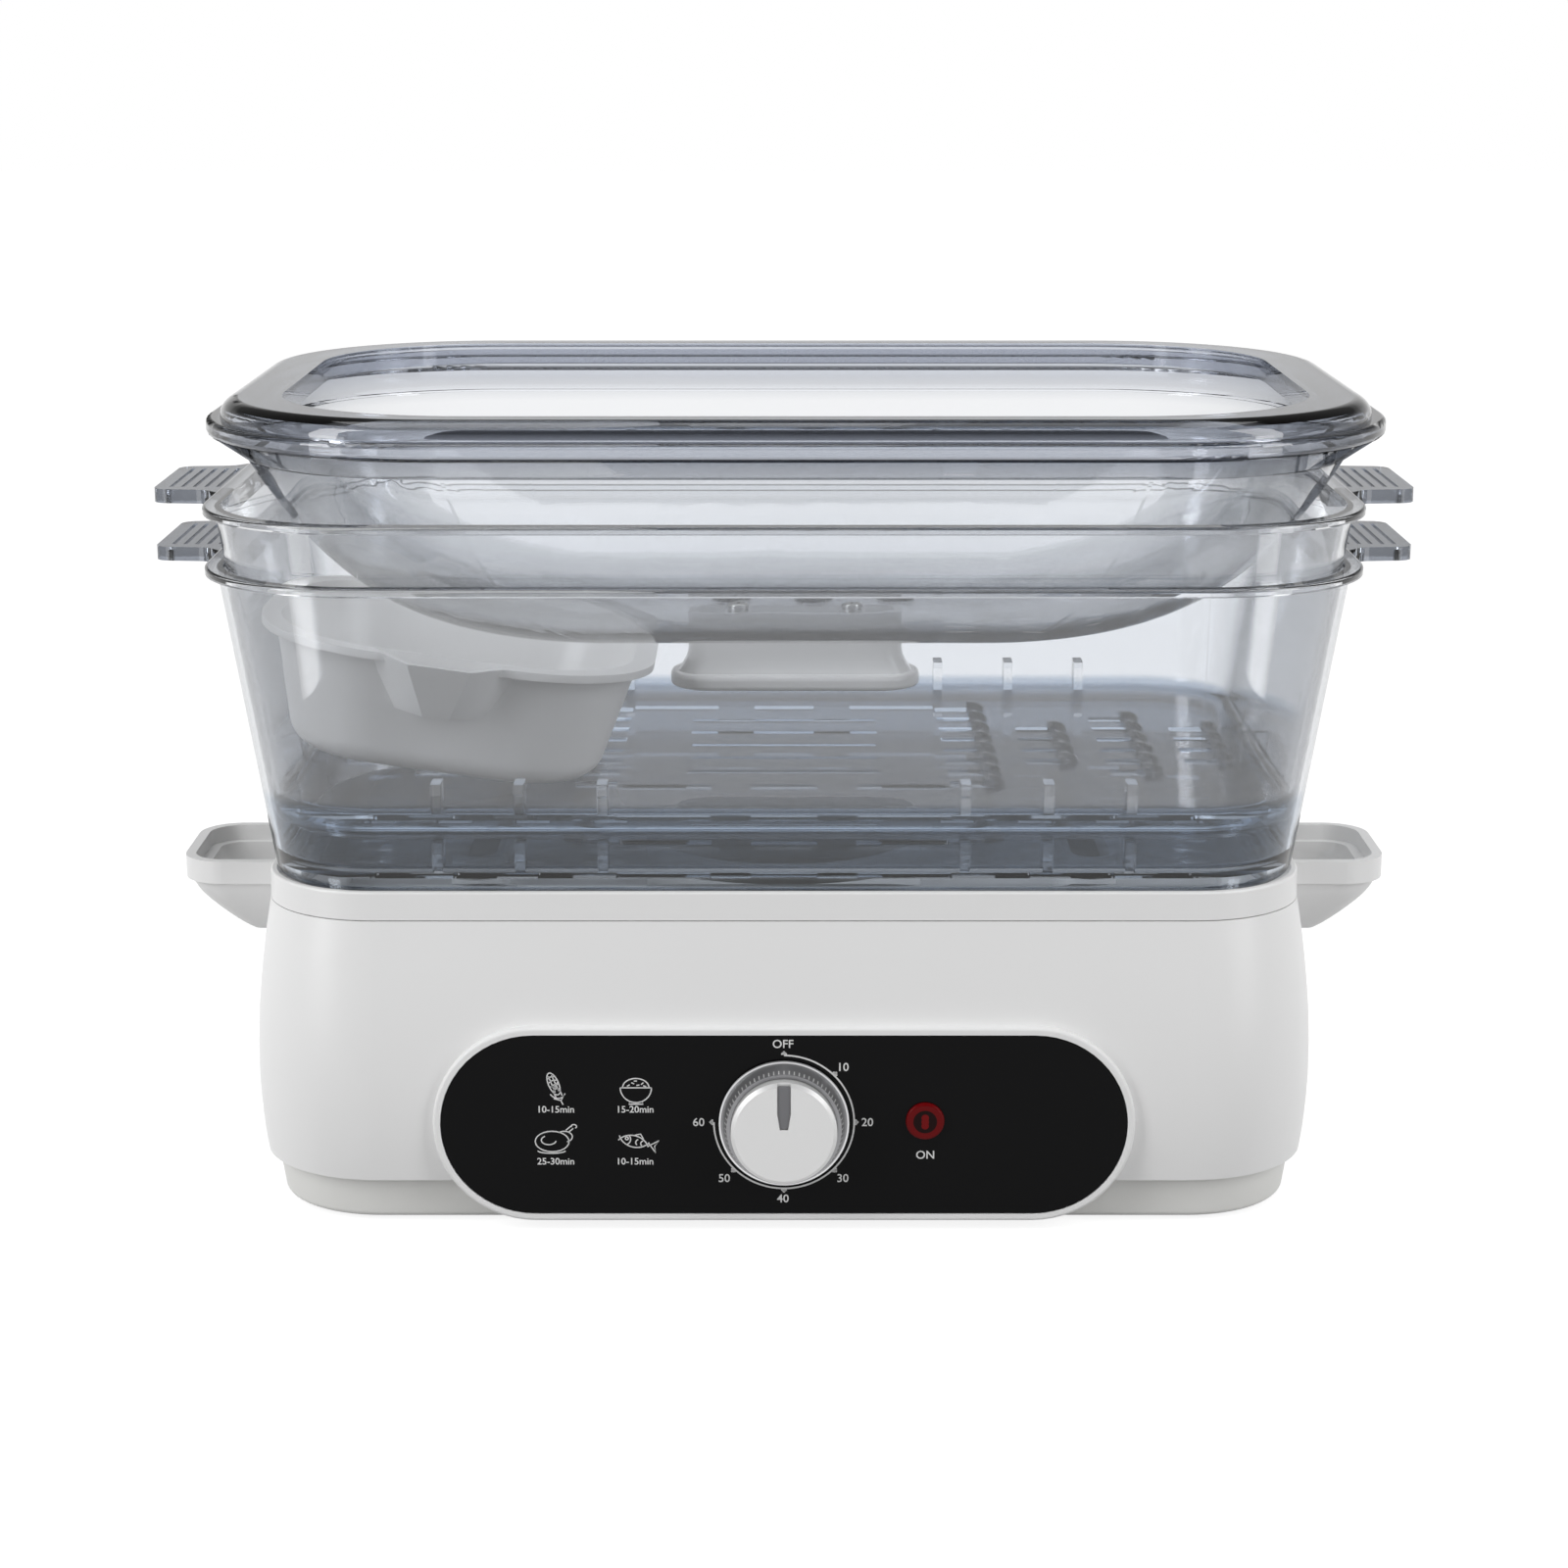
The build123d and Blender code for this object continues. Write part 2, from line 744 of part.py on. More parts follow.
def timer_shaft_space(front, back):
    """D shaped bore that the shaft drives."""
    radius = shaft_radius + 0.02
    bore = front_rod(0, timer_z, radius, back, front)
    length = back - front
    flat_low = timer_z + shaft_flat + 0.02
    block = Pos(0, front + length / 2, flat_low + radius) * Box(4 * radius, length + 2, 2 * radius)
    return bore - block


def knob_cap():
    """Bevelled disc in the knob, with a channel for the pointer."""
    back = knob_floor_y() - fit_gap
    front = back - cap_height - cap_seat
    cap = front_rod(0, timer_z, cap_radius, back, front)
    cap = chamfer(cap.faces().sort_by(Axis.Y)[0].edges(), cap_bevel)
    return cap - pointer_block(front - 1, pointer_depth + 1, fit_gap)


def pointer_block(front, depth, grow):
    """Tapered bar from the cap's edge towards its middle."""
    half = pointer_width / 2 + grow
    low = timer_z + cap_radius - pointer_length - grow
    high = timer_z + cap_radius + grow
    points = [
        (-half * 0.6, low - timer_z),
        (half * 0.6, low - timer_z),
        (half, low - timer_z + 0.35 * pointer_length),
        (half, high - timer_z),
        (-half, high - timer_z),
        (-half, low - timer_z + 0.35 * pointer_length),
    ]
    face = make_face(Polyline(*points, close=True))
    return extrude(front_plane(0, front + depth, timer_z) * face, depth)


def pointer_insert():
    """Grey bar that shows the setting."""
    front = knob_floor_y() - fit_gap - cap_height - cap_seat
    bar = pointer_block(front + 0.35, pointer_depth - 0.4, 0)
    keep = front_rod(0, timer_z, cap_radius - cap_bevel, front + cap_height, front - 1)
    return bar & keep


def indicator_lens():
    """Lamp lens with a flange on the panel and a hollow body."""
    lens = front_rod(lamp_x, lamp_z, lens_radius, panel_face_y - 0.05, panel_face_y - lens_proud)
    lens = fillet(lens.faces().sort_by(Axis.Y)[0].edges(), 0.8)
    back = boss_back_y + 2.0
    lens += front_rod(lamp_x, lamp_z, lens_body_radius, back, panel_face_y - 0.4)
    return lens - front_rod(lamp_x, lamp_z, neon_radius + fit_gap, back, panel_face_y + 0.6)


def neon_lamp():
    """Glass lamp in the lens, held by its two leads."""
    front = panel_face_y + 1.2
    lamp = front_rod(lamp_x, lamp_z, neon_radius, front + neon_length, front)
    return fillet(lamp.faces().sort_by(Axis.Y)[0].edges(), 1.2)


# ---------------------------------------------------------------- reservoir and heater

def reservoir():
    """Water tub that hangs on the housing ledge, with the heater hole in its floor."""
    wall_out = -reservoir_side_gap
    wall_in = wall_out - reservoir_wall
    floor_low = reservoir_floor_z - reservoir_wall
    flange_low = ledge_top_z + fit_gap
    flange_top = flange_low + 2.2
    tub = prism(base_outline, wall_out, floor_low, flange_top)
    tub += prism(base_outline, -housing_wall - body_gap, flange_low, flange_top)
    tub -= prism(base_outline, wall_in, reservoir_floor_z, flange_top)
    tub -= rod(0, 0, heater_boss_radius + heater_hole_gap, floor_low, reservoir_floor_z)
    for x, y in stud_places():
        tub -= rod(x, y, stud_radius + fit_gap, floor_low, reservoir_floor_z)
    for side in (-1, 1):
        tub -= inlet_passage(side)
    return tub


def stud_places():
    """Three stud centres round the heater."""
    places = []
    for index in range(3):
        angle = math.radians(90 + 120 * index)
        places.append((stud_circle_radius * math.cos(angle), stud_circle_radius * math.sin(angle)))
    return places


def heater_seal():
    """Flat ring between the heater plate and the reservoir floor."""
    low = reservoir_floor_z
    seal = rod(0, 0, heater_radius, low, low + seal_thickness)
    seal -= rod(0, 0, heater_radius - seal_width - 2.0, low, low + seal_thickness)
    for x, y in stud_places():
        seal -= rod(x, y, stud_radius + fit_gap, low, low + seal_thickness)
    return seal


def heater_plate():
    """Cast plate with a boss through the floor, a groove for the element and three studs."""
    low = reservoir_floor_z + seal_thickness
    top = low + heater_plate_thickness
    boss_low = low - heater_boss_depth
    plate = rod(0, 0, heater_radius, low, top)
    plate = fillet(edges_near(plate, top), 1.0)
    plate += rod(0, 0, heater_boss_radius, boss_low, low)
    groove_radius = element_tube_radius + 0.05
    groove = Pos(0, 0, boss_low) * Torus(element_ring_radius, groove_radius)
    plate -= groove
    for x, y in stud_places():
        plate += rod(x, y, stud_radius, low - stud_length, low)
    return plate


def heating_element():
    """Sheathed tube bent to a ring, with its two ends turned down."""
    z = reservoir_floor_z + seal_thickness - heater_boss_depth
    tube = revolve(Plane.XZ * Pos(element_ring_radius, 0) * Circle(element_tube_radius), Axis.Z,
                   360 - element_gap_angle)
    tube = Rot(0, 0, 90 + element_gap_angle / 2) * tube
    element = Pos(0, 0, z) * tube
    for side in (-1, 1):
        angle = math.radians(90 + side * element_gap_angle / 2)
        x = element_ring_radius * math.cos(angle)
        y = element_ring_radius * math.sin(angle)
        element += Pos(x, y, z) * Sphere(element_tube_radius)
        element += rod(x, y, element_tube_radius, z - element_leg, z)
        blade = Pos(x, y, z - element_leg - terminal_length) * Rectangle(terminal_width, terminal_thickness)
        element += extrude(blade, terminal_length + terminal_seat)
    return element


def heater_nuts():
    """Three nuts under the reservoir floor."""
    high = reservoir_floor_z - reservoir_wall - fit_gap / 2
    nuts = []
    for x, y in stud_places():
        nut = extrude(Pos(x, y, high - nut_height) * RegularPolygon(nut_across / 2, 6, major_radius=False),
                      nut_height)
        nuts.append(nut - rod(x, y, stud_radius + 0.05, high - nut_height, high))
    return Compound(children=nuts)


def thermostat():
    """Snap disc thermostat under the middle of the heater, on its strap."""
    high = reservoir_floor_z + seal_thickness - heater_boss_depth
    low = high - thermostat_height
    strap = SlotOverall(thermostat_flange_length, thermostat_flange_width)
    part = extrude(Pos(0, 0, high - thermostat_flange_thickness) * strap, thermostat_flange_thickness)
    part += rod(0, 0, thermostat_radius, low, high)
    for side in (-1, 1):
        x = side * thermostat_radius / 2
        blade = Pos(x, 0, low - thermostat_height) * Rectangle(terminal_thickness, terminal_width)
        part += extrude(blade, thermostat_height + terminal_seat)
    return part


def thermal_fuse():
    """Small sleeve that lies against the heater boss."""
    high = reservoir_floor_z + seal_thickness - heater_boss_depth
    return Pos(0, -fuse_offset, high - fuse_radius) * Rot(0, 90, 0) * Cylinder(fuse_radius, fuse_length)


def steam_ring():
    """Loose ring round the heater that holds back the water, with slots at its foot."""
    low = reservoir_floor_z + body_gap
    high = pan_bottom_z - body_gap
    part = rod(0, 0, steam_ring_radius, low, high)
    part -= rod(0, 0, steam_ring_radius - steam_ring_wall, low, high - steam_ring_wall)
    part -= rod(0, 0, steam_ring_radius - steam_ring_wall - steam_ring_lip, low, high)
    for index in range(steam_ring_slot_count):
        turn = Rot(0, 0, 360 * index / steam_ring_slot_count)
        slot = Rectangle(8 * steam_ring_wall, steam_ring_slot_width)
        part -= extrude(turn * Pos(steam_ring_radius, 0, low) * slot, steam_ring_slot_height)
    return part


# ---------------------------------------------------------------- drip tray

def chimney_plans():
    """Outlines of the three steam openings in the tray: one round, two long."""
    side = SlotOverall(side_chimney_length, side_chimney_width, rotation=90)
    return [Circle(chimney_radius),
            Pos(-side_chimney_x, 0) * side,
            Pos(side_chimney_x, 0) * side]


def drip_tray():
    """Tray whose rim is the collar above the housing; its shelf carries the lower basket."""
    collar = skin(base_outline, [(collar_bottom_z, 0), (collar_top_z, -collar_draft_inset)], ruled=True)
    collar = fillet(edges_near(collar, collar_top_z), collar_edge_radius)
    inner = -collar_draft_inset - collar_wall
    collar -= prism(base_outline, inner, collar_bottom_z, collar_top_z)
    shelf_low = shelf_top_z - shelf_thickness
    tray = collar + ring(base_outline, inner + 0.2, -plug_inset - pan_wall / 2, shelf_low, shelf_top_z)
    tray += ring(base_outline, -plug_inset, -plug_inset - pan_wall, pan_bottom_z, shelf_top_z)
    floor_top = pan_bottom_z + pan_floor
    tray += prism(base_outline, -plug_inset - pan_wall / 2, pan_bottom_z, floor_top)
    for outline in chimney_plans():
        tray += extrude(Pos(0, 0, pan_bottom_z) * outline, chimney_height)
    for outline in chimney_plans():
        hole = offset(outline, -chimney_wall)
        tray -= extrude(Pos(0, 0, pan_bottom_z) * hole, chimney_height)
    return tray


# ---------------------------------------------------------------- baskets

def floor_openings():
    """Steam slots of the basket floor: long rows, cross columns and end columns."""
    cuts = []
    for row in (-1, 1):
        y = row * slot_row_y
        cuts.append(Pos(0, y) * Rectangle(short_slot_length, slot_width))
        for side in (-1, 1):
            cuts.append(Pos(side * slot_centre_x, y) * Rectangle(long_slot_length, slot_width))
    for index in range(hole_row_count):
        y = (index - (hole_row_count - 1) / 2) * hole_row_pitch
        cuts.append(Pos(0, y) * Rectangle(hole_length, hole_width))
    for column, count in enumerate(louvre_counts):
        x = louvre_column_x + column * louvre_column_pitch
        for index in range(count):
            y = (index - (count - 1) / 2) * louvre_pitch
            for side in (-1, 1):
                cuts.append(Pos(side * x, y) * Rectangle(louvre_length, louvre_width))
    return cuts


def stack_ribs():
    """Ribs on the floor edge that carry the foot of a nested basket."""
    height = nest_pitch - foot_ring_depth - body_gap
    ribs = []
    for face in (-1, 1):
        y = face * (basket_half_depth - basket_wall - stack_rib_reach / 2 + 1.0)
        for side in (-1, 1):
            for index in range(stack_rib_count):
                x = side * (stack_rib_first + index * stack_rib_pitch)
                ribs.append(Pos(x, y, height / 2) * Box(stack_rib_width, stack_rib_reach, height))
    for side in (-1, 1):
        x = side * (basket_half_length - basket_wall - stack_rib_reach / 2 + 1.0)
        for y in (-stack_rib_pitch, stack_rib_pitch):
            ribs.append(Pos(x, y, height / 2) * Box(stack_rib_reach, stack_rib_width, height))
    return ribs


def basket_tab(side):
    """Grip tab at one end of the rim: flared root, round corners and a row of grooves."""
    wall = basket_half_length + wall_top_growth - basket_wall / 2
    rim = basket_half_length + rim_growth
    tip = rim + tab_reach
    neck = rim + tab_neck_reach
    top = basket_height - tab_drop
    half = [(wall, tab_root_half), (rim, tab_root_half), (neck, tab_neck_half), (tip, tab_tip_half)]
    points = [(side * x, y) for x, y in half] + [(side * x, -y) for x, y in reversed(half)]
    outline = make_face(Polyline(*points, close=True))
    necks = [v for v in outline.vertices() if abs(abs(v.X) - neck) < 0.01]
    outline = fillet(necks, tab_flare_radius)
    tips = [v for v in outline.vertices() if abs(abs(v.X) - tip) < 0.01]
    outline = fillet(tips, tab_corner)
    tab = extrude(Pos(0, 0, top - tab_thickness) * outline, tab_thickness)
    for index in range(tab_groove_count):
        x = side * (tip - tab_groove_inset - index * tab_groove_pitch)
        length = 2 * (tab_tip_half - tab_corner)
        groove = Pos(x, 0, top - tab_groove_depth / 2) * Box(tab_groove_width, length, tab_groove_depth)
        tab -= groove
    return tab


def basket(floor_z):
    """Tapered clear basket: foot ring, slotted floor, drafted wall, rim and grip tabs."""
    low = -basket_base_drop
    levels = [(low, low * nest_slope), (basket_wall_rise, wall_top_growth)]
    outer = skin(basket_outline, levels, ruled=True)
    outer = fillet(edges_near(outer, low), basket_floor_radius)
    foot = ring(basket_outline, -foot_ring_inset, -foot_ring_inset - foot_ring_wall,
                -foot_ring_depth, low + 0.5)
    recess = -foot_ring_inset - foot_ring_wall
    part = outer + foot - prism(basket_outline, recess, low, -basket_floor)
    part += prism(basket_outline, rim_growth, basket_wall_rise, basket_height)
    part = fillet(edges_near(part, basket_height), rim_edge_radius)
    inner_levels = [(0, -basket_wall), (basket_wall_rise, wall_top_growth - basket_wall)]
    hollow = skin(basket_outline, inner_levels, ruled=True)
    hollow = fillet(edges_near(hollow, 0), basket_inner_radius)
    mouth = skin(basket_outline, [(basket_wall_rise, wall_top_growth - basket_wall),
                                  (basket_height, basket_height * nest_slope - basket_wall)], ruled=True)
    part -= hollow + mouth
    for rib in stack_ribs():
        part += rib & outer
    for side in (-1, 1):
        part += basket_tab(side)
    for cut in floor_openings():
        part -= extrude(Pos(0, 0, -basket_floor - 1) * cut, basket_floor + 2)
    return Pos(0, 0, floor_z) * part


# ---------------------------------------------------------------- rice bowl

def bowl_outline():
    """Rim outline of the rice bowl."""
    return (bowl_half_length, bowl_half_depth, bowl_corner)


def spout_plan(grow, z):
    """Pouring lip in the middle of the near side."""
    half = bowl_spout_half + grow
    reach = bowl_spout_reach + grow
    root = bowl_half_depth - 6.0
    points = [(-half - 6.0, -root), (-half * 0.55, -bowl_half_depth - reach),
              (half * 0.55, -bowl_half_depth - reach), (half + 6.0, -root)]
    return Pos(0, 0, z) * make_face(Polyline(*points, close=True))


def rice_bowl():
    """Drafted bowl with a turned rim, a pouring lip and a foot, leaning on the basket wall."""
    outline = bowl_outline()
    wall_grow = -bowl_rim_width
    levels = [(0, -bowl_base_inset), (bowl_depth, wall_grow)]
    shell = skin(outline, levels, ruled=True)
    shell = fillet(edges_near(shell, 0), bowl_base_radius)
    shell += prism(outline, 0, bowl_depth - bowl_rim_thickness, bowl_depth)
    spout_low = bowl_depth * 0.55
    shell += loft([spout_plan(-10.0, spout_low), spout_plan(0, bowl_depth)], ruled=True)
    inner = skin(outline, [(bowl_wall, -bowl_base_inset - bowl_wall), (bowl_depth, wall_grow - bowl_wall)],
                 ruled=True)
    inner = fillet(edges_near(inner, bowl_wall), bowl_base_radius - bowl_wall)
    shell -= inner
    shell -= loft([spout_plan(-10.0 - bowl_wall, spout_low + bowl_wall),
                   spout_plan(-bowl_wall, bowl_depth)], ruled=True)
    foot = RectangleRounded(2 * bowl_foot_half_length, 2 * bowl_foot_half_depth,
                            bowl_foot_corner)
    foot_ring = foot - offset(foot, -bowl_wall)
    shell += extrude(Pos(0, 0, -bowl_foot_height) * foot_ring, bowl_foot_height + 0.5)
    place = Pos(bowl_origin_x, bowl_centre_y, bowl_origin_z) * Rot(0, bowl_tilt, 0)
    return place * shell


# ---------------------------------------------------------------- lid

def dome_plan(share, inset, z):
    """Outline of the dome at one share, drawn in from the outside by an inset."""
    half_length, half_depth, corner = dome_size(share)
    length = 2 * (half_length - inset)
    depth = 2 * (half_depth - inset)
    return Pos(0, 0, z) * RectangleRounded(length, depth, corner - dome_corner_share * inset)


def dome(inset, lift):
    """Crown and side of the lid, as a smooth loft from crown to band."""
    sections = []
    for share in dome_shares:
        rise = dome_rise(share) / lid_dome_depth
        z = lid_bottom_z + lift + rise * (lid_dome_depth - lift)
        sections.append(dome_plan(share, inset * rise, z))
    return loft(sections)


def lid():
    """Upside-down lid: domed crown below, flat band, shoulder and lip above."""
    band_low = lid_bottom_z + lid_dome_depth
    crown = dome(0, 0)
    band_inset = lid_dome_top_inset - lid_flange_step
    under = skin(lid_outline, [(band_low, -band_inset),
                               (lid_band_z + lid_lip_low, -1.0)], ruled=True)
    lip = prism(lid_outline, 0, lid_band_z + lid_lip_low, lid_band_z + lid_lip_high)
    lip = fillet(lip.edges().group_by(Axis.Z)[-1] + lip.edges().group_by(Axis.Z)[0], lid_lip_radius)
    shoulder = prism(lid_outline, -lid_shoulder_inset, lid_band_z + lid_lip_low, lid_top_z)
    shoulder = fillet(edges_near(shoulder, lid_top_z), lid_shoulder_radius)
    part = crown + under + lip + shoulder
    opening_half_length = lid_half_length - lid_opening_inset_x
    opening_half_depth = lid_half_depth - lid_opening_inset_y
    opening = (opening_half_length, opening_half_depth, lid_opening_corner)
    part -= prism(opening, 0, band_low, lid_top_z)
    chamber = skin(lid_outline, [(band_low, -band_inset - lid_wall),
                                 (lid_band_z + lid_lip_low, -1.0 - lid_wall)], ruled=True)
    chamber += prism(lid_outline, -lid_shoulder_inset - lid_wall, lid_band_z + lid_lip_low,
                     lid_top_z - lid_wall)
    chamber -= ring(opening, lid_wall, 0, lid_top_z - lid_opening_depth, lid_top_z)
    part -= chamber
    part -= dome(lid_wall, lid_wall)
    for index in range(vent_count):
        x = vent_centre_x + (index - (vent_count - 1) / 2) * vent_pitch
        crown_top = lid_bottom_z + lid_wall
        part += rod(x, vent_y, vent_radius + vent_collar_wall, lid_bottom_z + 1.0,
                    crown_top + vent_collar_height)
        part -= rod(x, vent_y, vent_radius, lid_bottom_z - 5, crown_top + vent_collar_height)
    for x in lid_screw_places():
        part -= rod(x, 0, screw_radius + fit_gap, lid_bottom_z - 1, lid_bottom_z + lid_wall + 1)
    return Pos(lid_shift_x, 0, 0) * part


def lid_screw_places():
    """X places of the knob screws, from the middle of the lid."""
    return (-lid_knob_screw_pitch / 2, lid_knob_screw_pitch / 2)


def lid_knob():
    """Bar knob under the crown: hollow neck, wider plate, two screw posts."""
    high = lid_bottom_z - fit_gap
    low = high - lid_knob_height
    plate_top = low + lid_knob_plate_thickness
    corner = lid_knob_plate_width / 2 - 2.0
    plate = Pos(0, 0, low) * RectangleRounded(lid_knob_plate_length, lid_knob_plate_width, corner)
    knob = extrude(plate, lid_knob_plate_thickness)
    knob = fillet(edges_near(knob, low) + edges_near(knob, plate_top), lid_knob_edge_radius)
    inset = 2 * lid_knob_neck_inset
    neck = RectangleRounded(lid_knob_plate_length - inset, lid_knob_plate_width - inset,
                            corner - lid_knob_neck_inset)
    knob += extrude(Pos(0, 0, plate_top - 0.5) * neck, high - plate_top + 0.5)
    flare = []
    for share in lid_knob_flare_shares:
        stretch = 2 * (1 - share) ** 2 * lid_knob_flare_reach
        outline = RectangleRounded(lid_knob_plate_length - inset + stretch, lid_knob_plate_width - inset,
                                   corner - lid_knob_neck_inset)
        flare.append(Pos(0, 0, plate_top + share * lid_knob_flare_height) * outline)
    knob += loft(flare, ruled=True)
    hollow = offset(neck, -lid_knob_wall)
    knob -= extrude(Pos(0, 0, low + 2.0) * hollow, high - low)
    for x in lid_screw_places():
        knob += rod(x, 0, lid_knob_post_radius, low + 1.0, high)
        knob -= rod(x, 0, screw_radius - 0.1, high - screw_length, high)
    return Pos(lid_shift_x, 0, 0) * knob


def lid_knob_screws():
    """Two screws from inside the dome into the knob posts."""
    seat = lid_bottom_z + lid_wall + fit_gap / 2
    top = seat + screw_head_height
    shank_low = lid_bottom_z - fit_gap - screw_length + 2.0
    screws = []
    for place in lid_screw_places():
        x = place + lid_shift_x
        head = fillet(edges_near(rod(x, 0, screw_head_radius, seat, top), top), 0.8)
        head -= extrude(Pos(x, 0, top - 0.8) * Rectangle(3.6, 0.9), 0.8)
        head -= extrude(Pos(x, 0, top - 0.8) * Rectangle(0.9, 3.6), 0.8)
        screws.append(head + rod(x, 0, screw_radius - 0.15, shank_low, seat + 1))
    return Compound(children=screws)


# ---------------------------------------------------------------- the assembly

nodes = {
    "base_housing": base_housing,
    "bottom_cover": bottom_cover,
    "rubber_feet": rubber_feet,
    "bottom_screws": bottom_screws,
    "cord_gland": cord_gland,
    "gland_nut": gland_nut,
    "control_panel": control_panel,
    "timer_body": timer_body,
    "timer_bell": timer_bell,
    "timer_screws": timer_screws,
    "timer_shaft": timer_shaft,
    "timer_knob": timer_knob,
    "knob_cap": knob_cap,
    "pointer_insert": pointer_insert,
    "indicator_lens": indicator_lens,
    "neon_lamp": neon_lamp,
    "reservoir": reservoir,
    "heater_seal": heater_seal,
    "heater_plate": heater_plate,
    "heating_element": heating_element,
    "heater_nuts": heater_nuts,
    "thermostat": thermostat,
    "thermal_fuse": thermal_fuse,
    "steam_ring": steam_ring,
    "drip_tray": drip_tray,
    "lower_basket": lambda: basket(lower_floor_z),
    "upper_basket": lambda: basket(upper_floor_z),
    "rice_bowl": rice_bowl,
    "lid": lid,
    "lid_knob": lid_knob,
    "lid_knob_screws": lid_knob_screws,
}

os.makedirs("parts", exist_ok=True)
for name, make in nodes.items():
    export_step(make(), f"parts/{name}.step")
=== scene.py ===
"""Looks of an electric food steamer: oblong base, nested clear baskets, rice bowl and upturned lid."""
import json
import math

import bmesh
import bpy
from mathutils import Matrix, Vector


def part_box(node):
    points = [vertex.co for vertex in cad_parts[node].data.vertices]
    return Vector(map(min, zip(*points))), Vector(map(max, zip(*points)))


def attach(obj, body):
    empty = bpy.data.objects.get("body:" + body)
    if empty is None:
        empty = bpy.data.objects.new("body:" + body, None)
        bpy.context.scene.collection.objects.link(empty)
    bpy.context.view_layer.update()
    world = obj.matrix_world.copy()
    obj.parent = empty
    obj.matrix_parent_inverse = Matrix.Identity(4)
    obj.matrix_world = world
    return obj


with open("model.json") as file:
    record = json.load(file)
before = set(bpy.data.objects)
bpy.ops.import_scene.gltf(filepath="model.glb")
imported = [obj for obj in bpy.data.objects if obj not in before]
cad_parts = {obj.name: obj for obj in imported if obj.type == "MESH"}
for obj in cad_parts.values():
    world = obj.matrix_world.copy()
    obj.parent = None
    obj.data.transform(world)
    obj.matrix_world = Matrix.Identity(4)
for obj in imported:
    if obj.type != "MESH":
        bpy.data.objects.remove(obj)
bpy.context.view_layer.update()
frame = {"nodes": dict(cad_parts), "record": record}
nodes = frame["nodes"]
scene = bpy.context.scene

MM = 0.001
timer_axis_z = 0.0342


# ---------------------------------------------------------------- camera, light and floor

def math_node(tree, operation, *values):
    """Math node fed by sockets or plain numbers."""
    node = tree.nodes.new("ShaderNodeMath")
    node.operation = operation
    for index, value in enumerate(values):
        if isinstance(value, (int, float)):
            node.inputs[index].default_value = value
        else:
            tree.links.new(value, node.inputs[index])
    return node.outputs[0]


lens_length = 74.25
sensor_width = 36.0
camera_place = (0.0, -1.008, 0.356)
camera_tilt = 13.63


def make_camera():
    """Camera in front of the controls, a little above the lid."""
    data = bpy.data.cameras.new("camera")
    data.lens = lens_length
    data.sensor_width = sensor_width
    data.sensor_fit = "HORIZONTAL"
    data.clip_start = 0.05
    data.clip_end = 20.0
    camera = bpy.data.objects.new("camera", data)
    camera.location = camera_place
    camera.rotation_euler = (math.radians(90.0 - camera_tilt), 0.0, 0.0)
    scene.collection.objects.link(camera)
    scene.camera = camera


def make_lamp(name, place, target, size, power):
    """Rectangular soft white lamp aimed at a point."""
    data = bpy.data.lights.new(name, "AREA")
    data.shape = "RECTANGLE"
    data.size, data.size_y = size
    data.energy = power
    lamp = bpy.data.objects.new(name, data)
    lamp.location = place
    lamp.rotation_euler = (Vector(target) - Vector(place)).to_track_quat("-Z", "Y").to_euler()
    scene.collection.objects.link(lamp)
    return lamp


side_box_size = (0.45, 1.3)
top_box_size = (1.6, 1.0)
strip_size = (0.10, 0.27)
strip_power = 0.18


def light_studio():
    """Two tall soft boxes at the sides, one overhead and two strips for the gloss of the corners."""
    middle = (0.0, 0.0, 0.12)
    make_lamp("left_box", (-1.3, -0.75, 0.75), middle, side_box_size, 13.0)
    make_lamp("right_box", (1.3, -0.75, 0.75), middle, side_box_size, 10.0)
    make_lamp("top_box", (0.0, 0.1, 1.6), (0.0, 0.0, 0.1), top_box_size, 9.0)
    for side in (-1, 1):
        place = (side * 0.38, -0.28, 0.14)
        corner = (side * 0.14, -0.09, 0.14)
        strip = make_lamp(f"strip_{side}", place, corner, strip_size, strip_power)
        strip.visible_camera = False
        strip.visible_diffuse = False


def background_share(tree):
    """Sockets that are one for straight rays, and for rays mirrored by or gone through a surface."""
    path = tree.nodes.new("ShaderNodeLightPath")
    mirrored = math_node(tree, "MAXIMUM", path.outputs["Is Glossy Ray"],
                         path.outputs["Is Transmission Ray"])
    return path.outputs["Is Camera Ray"], mirrored


def fade(tree, value, start, end):
    """Map Range node that a value drives from start to end."""
    ramp = tree.nodes.new("ShaderNodeMapRange")
    ramp.inputs["From Min"].default_value = start
    ramp.inputs["From Max"].default_value = end
    tree.links.new(value, ramp.inputs["Value"])
    return ramp


def blend(tree, share, low, high):
    """Socket that runs from low to high with a share; each is a socket or a plain number."""
    mix = tree.nodes.new("ShaderNodeMix")
    tree.links.new(share, mix.inputs["Factor"])
    for label, value in (("A", low), ("B", high)):
        if isinstance(value, float):
            mix.inputs[label].default_value = value
        else:
            tree.links.new(value, mix.inputs[label])
    return mix.outputs["Result"]


ceiling_starts = 0.02
ceiling_is_full = 0.34
ceiling_light = 0.12
front_ends = -0.2
back_wall_starts = 0.35
room_light = 0.10
room_light_through_plastic = 0.45
light_between_pieces = 1.6
light_on_surfaces = 0.52


